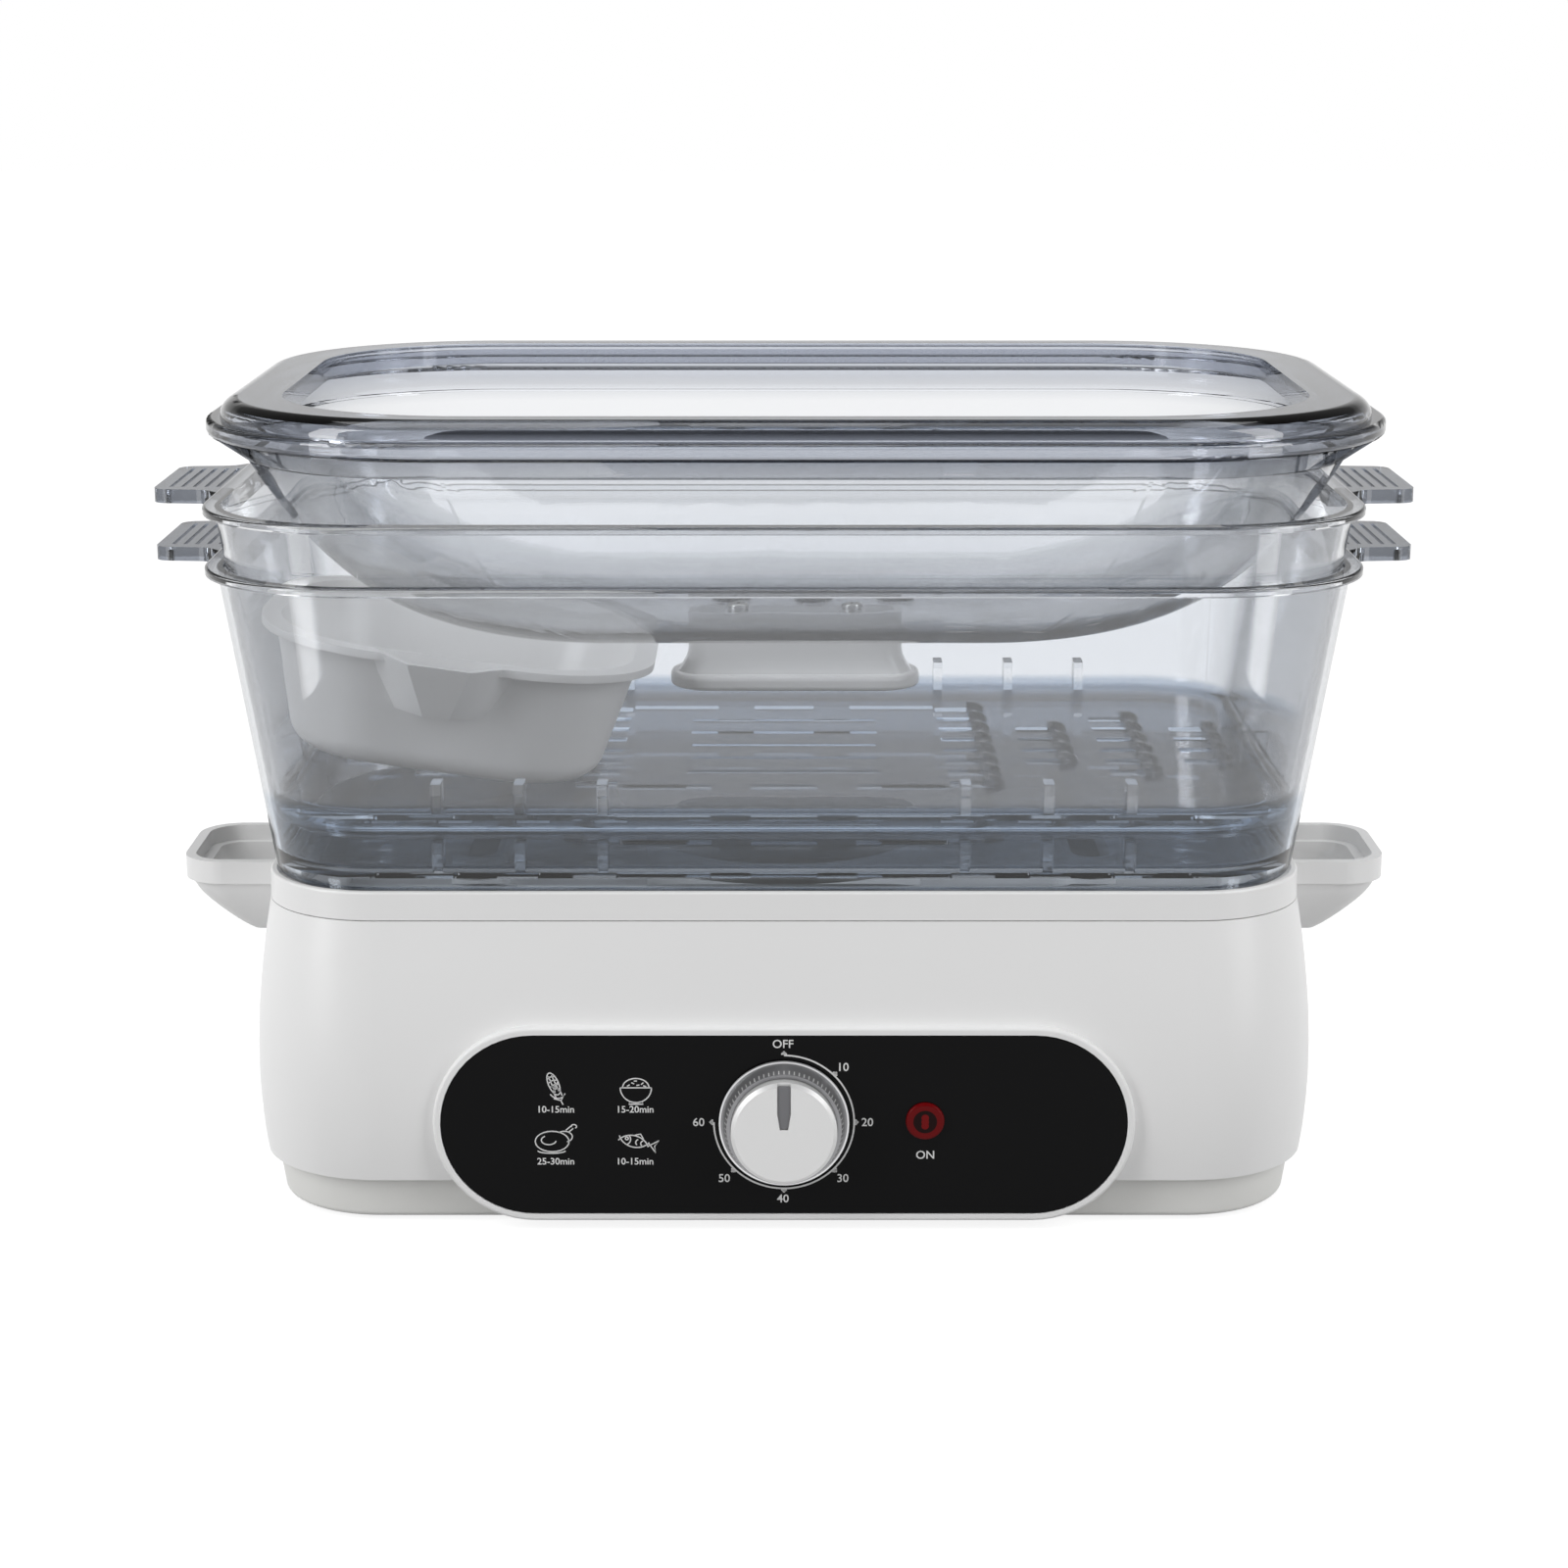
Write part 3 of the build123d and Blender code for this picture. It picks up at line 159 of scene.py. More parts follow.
def fill_world():
    """Even light all round; gloss sees a white back wall, a dim ceiling and a darker room."""
    world = bpy.data.worlds.new("studio")
    scene.world = world
    world.use_nodes = True
    tree = world.node_tree
    back = tree.nodes["Background"]
    back.inputs["Color"].default_value = (1.0, 1.0, 1.0, 1.0)
    straight, mirrored = background_share(tree)
    path = tree.nodes.new("ShaderNodeLightPath")
    place = tree.nodes.new("ShaderNodeTexCoord")
    axes = tree.nodes.new("ShaderNodeSeparateXYZ")
    tree.links.new(place.outputs["Generated"], axes.inputs["Vector"])
    ceiling = fade(tree, axes.outputs["Z"], ceiling_starts, ceiling_is_full)
    ceiling.inputs["To Min"].default_value = 1.0
    ceiling.inputs["To Max"].default_value = ceiling_light
    room = math_node(tree, "MULTIPLY_ADD", path.outputs["Is Transmission Ray"],
                     room_light_through_plastic, room_light)
    wall = fade(tree, axes.outputs["Y"], front_ends, back_wall_starts)
    wall.inputs["To Max"].default_value = 1.0
    tree.links.new(room, wall.inputs["To Min"])
    band = math_node(tree, "MULTIPLY", ceiling.outputs["Result"], wall.outputs["Result"])
    scattered = math_node(tree, "MINIMUM", path.outputs["Diffuse Depth"], 1.0)
    inner = blend(tree, scattered, band, light_between_pieces)
    lit = blend(tree, mirrored, light_on_surfaces, inner)
    strength = blend(tree, straight, lit, 1.0)
    tree.links.new(strength, back.inputs["Strength"])


floor_half_width = 6.0
floor_glow = 0.86


def make_floor():
    """Wide pale floor that runs out of sight and keeps a soft shadow."""
    half = floor_half_width
    mesh = bpy.data.meshes.new("floor")
    corners = [(-half, -half, 0.0), (half, -half, 0.0), (half, half, 0.0), (-half, half, 0.0)]
    mesh.from_pydata(corners, [], [(0, 1, 2, 3)])
    floor = bpy.data.objects.new("floor", mesh)
    scene.collection.objects.link(floor)
    paper = bpy.data.materials.new("floor_paper")
    paper.use_nodes = True
    tree = paper.node_tree
    shader = tree.nodes["Principled BSDF"]
    shader.inputs["Base Color"].default_value = (0.30, 0.30, 0.30, 1.0)
    shader.inputs["Roughness"].default_value = 0.9
    shader.inputs["Specular IOR Level"].default_value = 0.0
    shader.inputs["Emission Color"].default_value = (1.0, 1.0, 1.0, 1.0)
    straight, mirrored = background_share(tree)
    seen = math_node(tree, "MAXIMUM", straight, mirrored)
    glow = math_node(tree, "MULTIPLY", seen, floor_glow)
    tree.links.new(glow, shader.inputs["Emission Strength"])
    mesh.materials.append(paper)


make_camera()
light_studio()
fill_world()
make_floor()


# ---------------------------------------------------------------- shared shader groups

def new_group(name, inputs, outputs):
    """Empty shader node group with (name, kind, default) inputs and (name, kind) outputs."""
    group = bpy.data.node_groups.new(name, "ShaderNodeTree")
    for label, kind, default in inputs:
        socket = group.interface.new_socket(label, in_out="INPUT", socket_type=kind)
        socket.default_value = default
    for label, kind in outputs:
        group.interface.new_socket(label, in_out="OUTPUT", socket_type=kind)
    return group, group.nodes.new("NodeGroupInput"), group.nodes.new("NodeGroupOutput")


def group_moulding_tone():
    """Slow drift of tone and gloss over a moulded surface."""
    group, given, out = new_group(
        "moulding_tone",
        [("Colour", "NodeSocketColor", (0.8, 0.8, 0.8, 1.0)), ("Drift", "NodeSocketFloat", 0.03),
         ("Roughness", "NodeSocketFloat", 0.3), ("Gloss Drift", "NodeSocketFloat", 0.05),
         ("Scale", "NodeSocketFloat", 14.0)],
        [("Colour", "NodeSocketColor"), ("Roughness", "NodeSocketFloat")])
    place = group.nodes.new("ShaderNodeTexCoord")
    noise = group.nodes.new("ShaderNodeTexNoise")
    noise.inputs["Detail"].default_value = 4.0
    group.links.new(place.outputs["Object"], noise.inputs["Vector"])
    group.links.new(given.outputs["Scale"], noise.inputs["Scale"])
    centred = math_node(group, "SUBTRACT", noise.outputs["Fac"], 0.5)
    tone = math_node(group, "MULTIPLY_ADD", centred, given.outputs["Drift"], 1.0)
    tinted = group.nodes.new("ShaderNodeVectorMath")
    tinted.operation = "SCALE"
    group.links.new(given.outputs["Colour"], tinted.inputs[0])
    group.links.new(tone, tinted.inputs["Scale"])
    gloss = math_node(group, "MULTIPLY_ADD", centred, given.outputs["Gloss Drift"],
                      given.outputs["Roughness"])
    group.links.new(tinted.outputs["Vector"], out.inputs["Colour"])
    group.links.new(gloss, out.inputs["Roughness"])
    return group


def group_fine_grain():
    """Very fine moulded or cast grain, as a normal."""
    group, given, out = new_group(
        "fine_grain",
        [("Scale", "NodeSocketFloat", 2500.0), ("Strength", "NodeSocketFloat", 0.1),
         ("Depth", "NodeSocketFloat", 0.00005)],
        [("Normal", "NodeSocketVector")])
    place = group.nodes.new("ShaderNodeTexCoord")
    noise = group.nodes.new("ShaderNodeTexNoise")
    noise.inputs["Detail"].default_value = 2.0
    bump = group.nodes.new("ShaderNodeBump")
    group.links.new(place.outputs["Object"], noise.inputs["Vector"])
    group.links.new(given.outputs["Scale"], noise.inputs["Scale"])
    group.links.new(noise.outputs["Fac"], bump.inputs["Height"])
    group.links.new(given.outputs["Strength"], bump.inputs["Strength"])
    group.links.new(given.outputs["Depth"], bump.inputs["Distance"])
    group.links.new(bump.outputs["Normal"], out.inputs["Normal"])
    return group


def group_turned_lines():
    """Concentric turning lines round the timer's axis, as a normal."""
    group, given, out = new_group(
        "turned_lines",
        [("Centre Z", "NodeSocketFloat", timer_axis_z), ("Lines", "NodeSocketFloat", 2600.0),
         ("Strength", "NodeSocketFloat", 0.2)],
        [("Normal", "NodeSocketVector")])
    place = group.nodes.new("ShaderNodeTexCoord")
    axes = group.nodes.new("ShaderNodeSeparateXYZ")
    group.links.new(place.outputs["Object"], axes.inputs["Vector"])
    height = math_node(group, "SUBTRACT", axes.outputs["Z"], given.outputs["Centre Z"])
    square_x = math_node(group, "MULTIPLY", axes.outputs["X"], axes.outputs["X"])
    square = math_node(group, "MULTIPLY_ADD", height, height, square_x)
    radius = math_node(group, "SQRT", square)
    turns = math_node(group, "MULTIPLY", radius, given.outputs["Lines"])
    noise = group.nodes.new("ShaderNodeTexNoise")
    noise.noise_dimensions = "1D"
    noise.inputs["Scale"].default_value = 1.0
    noise.inputs["Detail"].default_value = 1.0
    group.links.new(turns, noise.inputs["W"])
    bump = group.nodes.new("ShaderNodeBump")
    bump.inputs["Distance"].default_value = 0.00004
    group.links.new(noise.outputs["Fac"], bump.inputs["Height"])
    group.links.new(given.outputs["Strength"], bump.inputs["Strength"])
    group.links.new(bump.outputs["Normal"], out.inputs["Normal"])
    return group


def group_ring_mask():
    """One between two radii round an axis along Y, nought elsewhere, with a soft edge."""
    group, given, out = new_group(
        "ring_mask",
        [("Centre X", "NodeSocketFloat", 0.0), ("Centre Z", "NodeSocketFloat", timer_axis_z),
         ("Inner", "NodeSocketFloat", 0.01), ("Outer", "NodeSocketFloat", 0.02),
         ("Softness", "NodeSocketFloat", 0.0002)],
        [("Mask", "NodeSocketFloat")])
    place = group.nodes.new("ShaderNodeTexCoord")
    axes = group.nodes.new("ShaderNodeSeparateXYZ")
    group.links.new(place.outputs["Object"], axes.inputs["Vector"])
    across = math_node(group, "SUBTRACT", axes.outputs["X"], given.outputs["Centre X"])
    up = math_node(group, "SUBTRACT", axes.outputs["Z"], given.outputs["Centre Z"])
    square = math_node(group, "MULTIPLY_ADD", up, up, math_node(group, "MULTIPLY", across, across))
    radius = math_node(group, "SQRT", square)
    past_inner = math_node(group, "SUBTRACT", radius, given.outputs["Inner"])
    to_outer = math_node(group, "SUBTRACT", given.outputs["Outer"], radius)
    nearest = math_node(group, "MINIMUM", past_inner, to_outer)
    mask = math_node(group, "DIVIDE", nearest, given.outputs["Softness"])
    mask = math_node(group, "MINIMUM", math_node(group, "MAXIMUM", mask, 0.0), 1.0)
    group.links.new(mask, out.inputs["Mask"])
    return group


moulding_tone = group_moulding_tone()
ring_mask = group_ring_mask()
fine_grain = group_fine_grain()
turned_lines = group_turned_lines()


def place_group(tree, group, **values):
    """Group node with its inputs set by name; underscores stand for spaces."""
    node = tree.nodes.new("ShaderNodeGroup")
    node.node_tree = group
    for label, value in values.items():
        node.inputs[label.replace("_", " ")].default_value = value
    return node


# ---------------------------------------------------------------- materials

def new_finish(name, colour, roughness, drift=0.03, gloss_drift=0.06, scale=14.0, metallic=0.0,
               coat=0.0, specular=0.5):
    """Principled finish whose tone and gloss drift slightly over the piece."""
    finish = bpy.data.materials.new(name)
    finish.use_nodes = True
    tree = finish.node_tree
    shader = tree.nodes["Principled BSDF"]
    tone = place_group(tree, moulding_tone, Colour=(*colour, 1.0), Drift=drift, Roughness=roughness,
                       Gloss_Drift=gloss_drift, Scale=scale)
    tree.links.new(tone.outputs["Colour"], shader.inputs["Base Color"])
    tree.links.new(tone.outputs["Roughness"], shader.inputs["Roughness"])
    shader.inputs["Metallic"].default_value = metallic
    shader.inputs["Coat Weight"].default_value = coat
    shader.inputs["Coat Roughness"].default_value = 0.06
    shader.inputs["Specular IOR Level"].default_value = specular
    return finish


def add_grain(finish, scale, strength, depth=0.00005):
    """Fine grain in the finish's normal."""
    tree = finish.node_tree
    grain = place_group(tree, fine_grain, Scale=scale, Strength=strength, Depth=depth)
    tree.links.new(grain.outputs["Normal"], tree.nodes["Principled BSDF"].inputs["Normal"])
    return finish


def add_turned_lines(finish, strength):
    """Turning lines in the finish's normal."""
    tree = finish.node_tree
    lines = place_group(tree, turned_lines, Strength=strength)
    tree.links.new(lines.outputs["Normal"], tree.nodes["Principled BSDF"].inputs["Normal"])
    return finish


def add_ring(finish, colour, inner, outer, centre_x=0.0, centre_z=timer_axis_z):
    """Ring of another colour in a finish, in metres round an axis along Y."""
    tree = finish.node_tree
    shader = tree.nodes["Principled BSDF"]
    under = shader.inputs["Base Color"].links[0].from_socket
    ring = place_group(tree, ring_mask, Centre_X=centre_x, Centre_Z=centre_z, Inner=inner,
                       Outer=outer)
    mix = tree.nodes.new("ShaderNodeMix")
    mix.data_type = "RGBA"
    mix.inputs["B"].default_value = (*colour, 1.0)
    tree.links.new(ring.outputs["Mask"], mix.inputs["Factor"])
    tree.links.new(under, mix.inputs["A"])
    tree.links.new(mix.outputs["Result"], shader.inputs["Base Color"])
    return finish


def deepen(tree, under, colour, mask):
    """Colour socket multiplied by a tint where the mask is one."""
    mix = tree.nodes.new("ShaderNodeMix")
    mix.data_type = "RGBA"
    mix.blend_type = "MULTIPLY"
    mix.inputs["B"].default_value = (*colour, 1.0)
    tree.links.new(mask, mix.inputs["Factor"])
    tree.links.new(under, mix.inputs["A"])
    return mix.outputs["Result"]


# Masks and tints: painted shade low in the baskets, more on level faces; at the tabs and lid band,
# partly thicker plastic, partly painted shade.
shaded_floor_fade = (0.1285, 0.1258)
level_fade = (0.6, 0.9)
tab_fade = (0.166, 0.173)
band_fade = (0.222, 0.232)
floor_painted_shade_tint = (0.70, 0.75, 0.81)
plate_painted_shade_tint = (0.50, 0.55, 0.62)
tab_tint = (0.25, 0.27, 0.31)
band_tint = (0.60, 0.62, 0.67)


def deepen_thick_places(tree, under):
    """Darker tint: painted shade low in the stacked baskets, strongest on level faces there; at the
    grip tabs and the band round the lid, partly the deeper tint of thicker doubled plastic, partly
    painted shade.
    """
    place = tree.nodes.new("ShaderNodeTexCoord")
    axes = tree.nodes.new("ShaderNodeSeparateXYZ")
    tree.links.new(place.outputs["Object"], axes.inputs["Vector"])
    surface = tree.nodes.new("ShaderNodeNewGeometry")
    slope = tree.nodes.new("ShaderNodeSeparateXYZ")
    tree.links.new(surface.outputs["True Normal"], slope.inputs["Vector"])
    upright = math_node(tree, "ABSOLUTE", slope.outputs["Z"])
    from_middle = math_node(tree, "ABSOLUTE", axes.outputs["X"])
    level = fade(tree, upright, *level_fade).outputs["Result"]
    shaded_floors = fade(tree, axes.outputs["Z"], *shaded_floor_fade).outputs["Result"]
    shaded_plates = math_node(tree, "MULTIPLY", shaded_floors, level)
    tabs = fade(tree, from_middle, *tab_fade).outputs["Result"]
    band = fade(tree, axes.outputs["Z"], *band_fade).outputs["Result"]
    result = deepen(tree, under, floor_painted_shade_tint, shaded_floors)
    result = deepen(tree, result, plate_painted_shade_tint, shaded_plates)
    result = deepen(tree, result, tab_tint, tabs)
    return deepen(tree, result, band_tint, band)


clear_ior = 1.5
edge_sharpness = 1.9


def new_clear(name, face_tint, edge_shade_tint, shade_tint, roughness=0.015, thick_and_shaded=False):
    """Clear plastic that lets lamps through and darkens towards its edges, partly for the longer path
    through the plastic and partly as painted dark reflection; it can take the painted shade low in the
    baskets and the darker tab and band tints as well.
    """
    finish = bpy.data.materials.new(name)
    finish.use_nodes = True
    tree = finish.node_tree
    shader = tree.nodes["Principled BSDF"]
    shader.inputs["Transmission Weight"].default_value = 1.0
    shader.inputs["IOR"].default_value = clear_ior
    tone = place_group(tree, moulding_tone, Drift=0.04, Roughness=roughness, Gloss_Drift=0.01,
                       Scale=9.0)
    # Edge tint by facing: painted dark reflection, partly the longer path through the plastic.
    facing = tree.nodes.new("ShaderNodeLayerWeight")
    facing.inputs["Blend"].default_value = 0.5
    steep = math_node(tree, "POWER", facing.outputs["Facing"], edge_sharpness)
    tint = tree.nodes.new("ShaderNodeMix")
    tint.data_type = "RGBA"
    tint.inputs["A"].default_value = (*face_tint, 1.0)
    tint.inputs["B"].default_value = (*edge_shade_tint, 1.0)
    tree.links.new(steep, tint.inputs["Factor"])
    tinted = tint.outputs["Result"]
    if thick_and_shaded:
        # Painted shade low in the baskets; tabs and lid band partly thicker plastic, partly painted
        # shade.
        tinted = deepen_thick_places(tree, tinted)
    tree.links.new(tinted, tone.inputs["Colour"])
    tree.links.new(tone.outputs["Colour"], shader.inputs["Base Color"])
    tree.links.new(tone.outputs["Roughness"], shader.inputs["Roughness"])
    path = tree.nodes.new("ShaderNodeLightPath")
    lamp_light = tree.nodes.new("ShaderNodeBsdfTransparent")
    lamp_light.inputs["Color"].default_value = (*shade_tint, 1.0)
    mix = tree.nodes.new("ShaderNodeMixShader")
    tree.links.new(path.outputs["Is Shadow Ray"], mix.inputs["Fac"])
    tree.links.new(shader.outputs["BSDF"], mix.inputs[1])
    tree.links.new(lamp_light.outputs["BSDF"], mix.inputs[2])
    tree.links.new(mix.outputs["Shader"], tree.nodes["Material Output"].inputs["Surface"])
    return finish


lens_x, lens_z = 0.0416, 0.0347
lens_shade_radius = 0.0036
rod_radius = 0.0012
whole_disc = -0.001


def red_lens():
    """Clear red cap: a brighter red ring at its edge, a dark middle painted as the shade in the lamp's
    hollow behind, and the upright rod of the lamp.
    """
    finish = new_finish("lens_red", (0.13, 0.002, 0.003), 0.12, drift=0.1, specular=0.08)
    # Dark middle: painted shade of the lamp's hollow behind the cap.
    add_ring(finish, (0.010, 0.001, 0.001), whole_disc, lens_shade_radius, lens_x, lens_z)
    for rise in (-rod_radius, 0.0, rod_radius):
        add_ring(finish, (0.16, 0.003, 0.004), whole_disc, rod_radius, lens_x, lens_z + rise)
    return finish


finishes = {
    "white_gloss": new_finish("white_gloss", (0.80, 0.80, 0.80), 0.36, drift=0.02, specular=0.4),
    "white_matte": add_grain(new_finish("white_matte", (0.76, 0.76, 0.74), 0.5), 1800.0, 0.3),
    "grey_rubber": add_grain(new_finish("grey_rubber", (0.10, 0.10, 0.105), 0.75), 1500.0, 0.5),
    "zinc_steel": add_grain(new_finish("zinc_steel", (0.55, 0.55, 0.53), 0.32, drift=0.2,
                                       scale=300.0, metallic=1.0), 3000.0, 0.2),
    "black_plastic": add_grain(new_finish("black_plastic", (0.02, 0.02, 0.02), 0.45), 2500.0, 0.4),
    "panel_black": new_finish("panel_black", (0.0035, 0.0035, 0.0038), 0.18, gloss_drift=0.03,
                              specular=0.07),
    "timer_case": add_grain(new_finish("timer_case", (0.06, 0.045, 0.035), 0.5), 900.0, 0.3),
    "silver_satin": add_ring(add_turned_lines(new_finish("silver_satin", (0.30, 0.30, 0.31), 0.34,
                                                         metallic=0.75), 0.25),
                             (0.78, 0.78, 0.79), 0.0186, 0.0194),
    "silver_bright": add_turned_lines(new_finish("silver_bright", (0.72, 0.72, 0.72), 0.42,
                                                 metallic=0.45), 0.12),
    "pointer_grey": add_grain(new_finish("pointer_grey", (0.16, 0.16, 0.17), 0.4), 2500.0, 0.2),
    "silicone": new_finish("silicone", (0.6, 0.6, 0.58), 0.55),
    "cast_aluminium": add_grain(new_finish("cast_aluminium", (0.6, 0.61, 0.62), 0.42, drift=0.1,
                                           metallic=1.0), 700.0, 0.4, 0.0001),
    "knob_white": new_finish("knob_white", (0.90, 0.90, 0.90), 0.22, drift=0.02),
    # Smoky clear: painted dark reflection at its edges and painted shade low in the baskets.
    "smoky_clear": new_clear("smoky_clear", (0.92, 0.93, 0.945), (0.04, 0.055, 0.08),
                             (0.97, 0.973, 0.977), thick_and_shaded=True),
    # Near-black smoky tint for the floor scoops: painted shade, for the dark shadows round the scoops.
    "smoky_painted_shade": new_clear("smoky_painted_shade", (0.12, 0.14, 0.18), (0.01, 0.015, 0.02),
                            (0.9, 0.9, 0.9), roughness=0.08),
    # Near-black for the vent rings: painted shade where the vents look dark.
    "vent_painted_shade": new_finish("vent_painted_shade", (0.012, 0.014, 0.02), 0.2),
    "lamp_glass": new_clear("lamp_glass", (0.95, 0.85, 0.75), (0.6, 0.45, 0.35),
                            (0.9, 0.8, 0.7)),
    "lens_red": red_lens(),
    "print_white": new_finish("print_white", (0.72, 0.72, 0.72), 0.5),
}


def milky_bowl():
    """White moulding that lets a little light through."""
    finish = new_finish("bowl_white", (0.93, 0.93, 0.93), 0.30, drift=0.02)
    shader = finish.node_tree.nodes["Principled BSDF"]
    shader.inputs["Subsurface Weight"].default_value = 0.35
    shader.inputs["Subsurface Scale"].default_value = 0.004
    shader.inputs["Subsurface Radius"].default_value = (1.0, 1.0, 1.0)
    return finish


finishes["bowl_white"] = milky_bowl()


def dress_nodes():
    """Each CAD node takes the finish of its material slot."""
    for part in frame["record"]["subparts"]:
        mesh = nodes[part["node"]].data
        mesh.materials.clear()
        mesh.materials.append(finishes[part["material_slot"]])


dress_nodes()


# ---------------------------------------------------------------- printed panel

ink_back = 0.00001
ink_front = 0.00005
panel_low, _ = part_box("control_panel")
print_back_y = panel_low.y - ink_back
print_front_y = panel_low.y - ink_front


def new_piece(name, mesh, body, finish):
    """Object from a finished mesh, riding a body."""
    mesh.materials.clear()
    mesh.materials.append(finishes[finish])
    piece = bpy.data.objects.new(name, mesh)
    scene.collection.objects.link(piece)
    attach(piece, body)
    return piece


def ribbon(strokes, width):
    """Mesh of flat inked lines: each stroke is a list of (x, z) in millimetres on the panel."""
    points = []
    faces = []
    for stroke in strokes:
        closed = stroke[0] == stroke[-1]
        line = stroke[:-1] if closed else stroke
        start = len(points)
        count = len(line)
        for index, (x, z) in enumerate(line):
            before = line[index - 1] if closed or index else line[0]
            after = line[(index + 1) % count] if closed or index < count - 1 else line[-1]
            along = Vector((after[0] - before[0], after[1] - before[1])).normalized()
            side = Vector((-along.y, along.x)) * width / 2
            for y in (print_front_y, print_back_y):
                points.append(((x + side.x) * MM, y, (z + side.y) * MM))
                points.append(((x - side.x) * MM, y, (z - side.y) * MM))
        last = count if closed else count - 1
        for index in range(last):
            a = start + 4 * index
            b = start + 4 * ((index + 1) % count)
            faces += [(a, a + 1, b + 1, b), (a + 2, b + 2, b + 3, a + 3),
                      (a, b, b + 2, a + 2), (a + 1, a + 3, b + 3, b + 1)]
        if not closed:
            end = start + 4 * (count - 1)
            faces += [(start, start + 2, start + 3, start + 1), (end, end + 1, end + 3, end + 2)]
    mesh = bpy.data.meshes.new("ink")
    mesh.from_pydata(points, [], faces)
    return mesh


def arc(centre_x, centre_z, radius_x, radius_z, start, end, steps=24):
    """Points along part of an oval, angles in degrees from the right, turning left."""
    points = []
    for index in range(steps + 1):
        angle = math.radians(start + (end - start) * index / steps)
        points.append((centre_x + radius_x * math.cos(angle), centre_z + radius_z * math.sin(angle)))
    if abs(end - start) == 360:
        points[-1] = points[0]
    return points


def turned(strokes, centre, degrees):
    """Strokes turned about a point."""
    angle = math.radians(degrees)
    cosine, sine = math.cos(angle), math.sin(angle)
    result = []
    for stroke in strokes:
        offsets = [(x - centre[0], z - centre[1]) for x, z in stroke]
        result.append([(centre[0] + x * cosine - z * sine, centre[1] + x * sine + z * cosine)
                       for x, z in offsets])
    return result


def maize_icon(x, z):
    """Ear of maize with two leaves."""
    cob = [arc(x, z + 1.6, 1.5, 3.6, 0, 360)]
    for row in (-0.6, 0.6):
        cob.append([(x + row, z - 1.0), (x + row * 0.8, z + 4.3)])
    for level in (-0.4, 1.0, 2.4, 3.6):
        cob.append([(x - 1.2, z + level), (x, z + level + 0.35), (x + 1.2, z + level)])
    leaves = [
        arc(x + 2.6, z - 1.6, 3.6, 3.4, 195, 110, 10),
        arc(x + 0.3, z + 0.2, 2.6, 3.4, 200, 300, 10),
        arc(x - 2.6, z - 1.8, 3.6, 3.2, -15, 70, 10),
        [(x - 1.7, z - 2.6), (x, z - 4.0), (x + 2.0, z - 2.4)],
        [(x, z - 4.0), (x + 0.1, z - 5.4)],
    ]
    return turned(cob + leaves, (x, z), 22)


def rice_icon(x, z):
    """Bowl heaped with rice."""
    strokes = [
        [(x - 4.6, z + 1.0), (x + 4.6, z + 1.0)],
        arc(x, z + 1.0, 4.6, 4.6, 180, 360, 18),
        [(x - 1.8, z - 3.2), (x - 2.1, z - 4.1), (x + 2.1, z - 4.1), (x + 1.8, z - 3.2)],
        arc(x, z + 1.0, 3.9, 2.9, 0, 180, 18),
    ]
    for grain_x, grain_z, tilt in ((-2.2, 1.7, 30), (-0.9, 2.4, -25), (0.6, 1.8, 10), (1.9, 2.3, 40),
                                   (-0.1, 3.1, 0), (2.6, 1.5, -20)):
        grain = [[(x + grain_x - 0.45, z + grain_z), (x + grain_x + 0.45, z + grain_z)]]
        strokes += turned(grain, (x + grain_x, z + grain_z), tilt)
    return strokes


def roast_icon(x, z):
    """Roast bird on its back with one leg up."""
    return [
        arc(x - 0.6, z - 0.6, 5.0, 3.2, 0, 360),
        arc(x - 1.6, z - 0.2, 2.2, 1.4, 120, 350, 14),
        arc(x + 3.0, z + 0.9, 2.4, 1.7, -70, 130, 14),
        [(x + 4.3, z + 2.3), (x + 5.7, z + 3.5)],
        [(x + 3.5, z + 2.9), (x + 5.0, z + 4.2)],
        arc(x + 5.9, z + 4.1, 0.8, 0.6, -60, 200, 10),
        arc(x - 0.8, z - 3.4, 4.2, 0.9, 190, 350, 12),
    ]


def fish_icon(x, z):
    """Fish with a forked tail."""
    body = [
        arc(x - 1.0, z - 2.6, 5.0, 4.4, 25, 155, 18),
        arc(x - 1.0, z + 2.6, 5.0, 4.4, 205, 335, 18),
        [(x + 3.5, z - 0.4), (x + 6.2, z + 2.0), (x + 5.3, z), (x + 6.2, z - 2.0), (x + 3.5, z + 0.4)],
        arc(x - 3.2, z + 0.4, 0.45, 0.45, 0, 360, 10),
        arc(x - 4.4, z, 2.4, 2.0, -50, 50, 8),
        [(x - 1.2, z + 1.9), (x + 0.4, z + 2.7), (x + 1.6, z + 1.4)],
        arc(x + 0.4, z, 0.8, 0.9, 110, 250, 6),
        arc(x + 1.9, z, 0.8, 0.8, 110, 250, 6),
    ]
    return turned(body, (x, z), -14)


dial_centre = (0.0, 34.2)
dial_radius = 20.7
degrees_in_minute = 4.5
arrow_reach = 1.3
arrow_half_widths = (0.85, 0.55, 0.25)
dial_line_width = 0.50
picture_line_width = 0.34


def dial_point(minutes, radius):
    """Place on the dial at a setting: clockwise from the top, 60 minutes over 270 degrees."""
    angle = math.radians(90.0 - degrees_in_minute * minutes)
    return dial_centre[0] + radius * math.cos(angle), dial_centre[1] + radius * math.sin(angle)


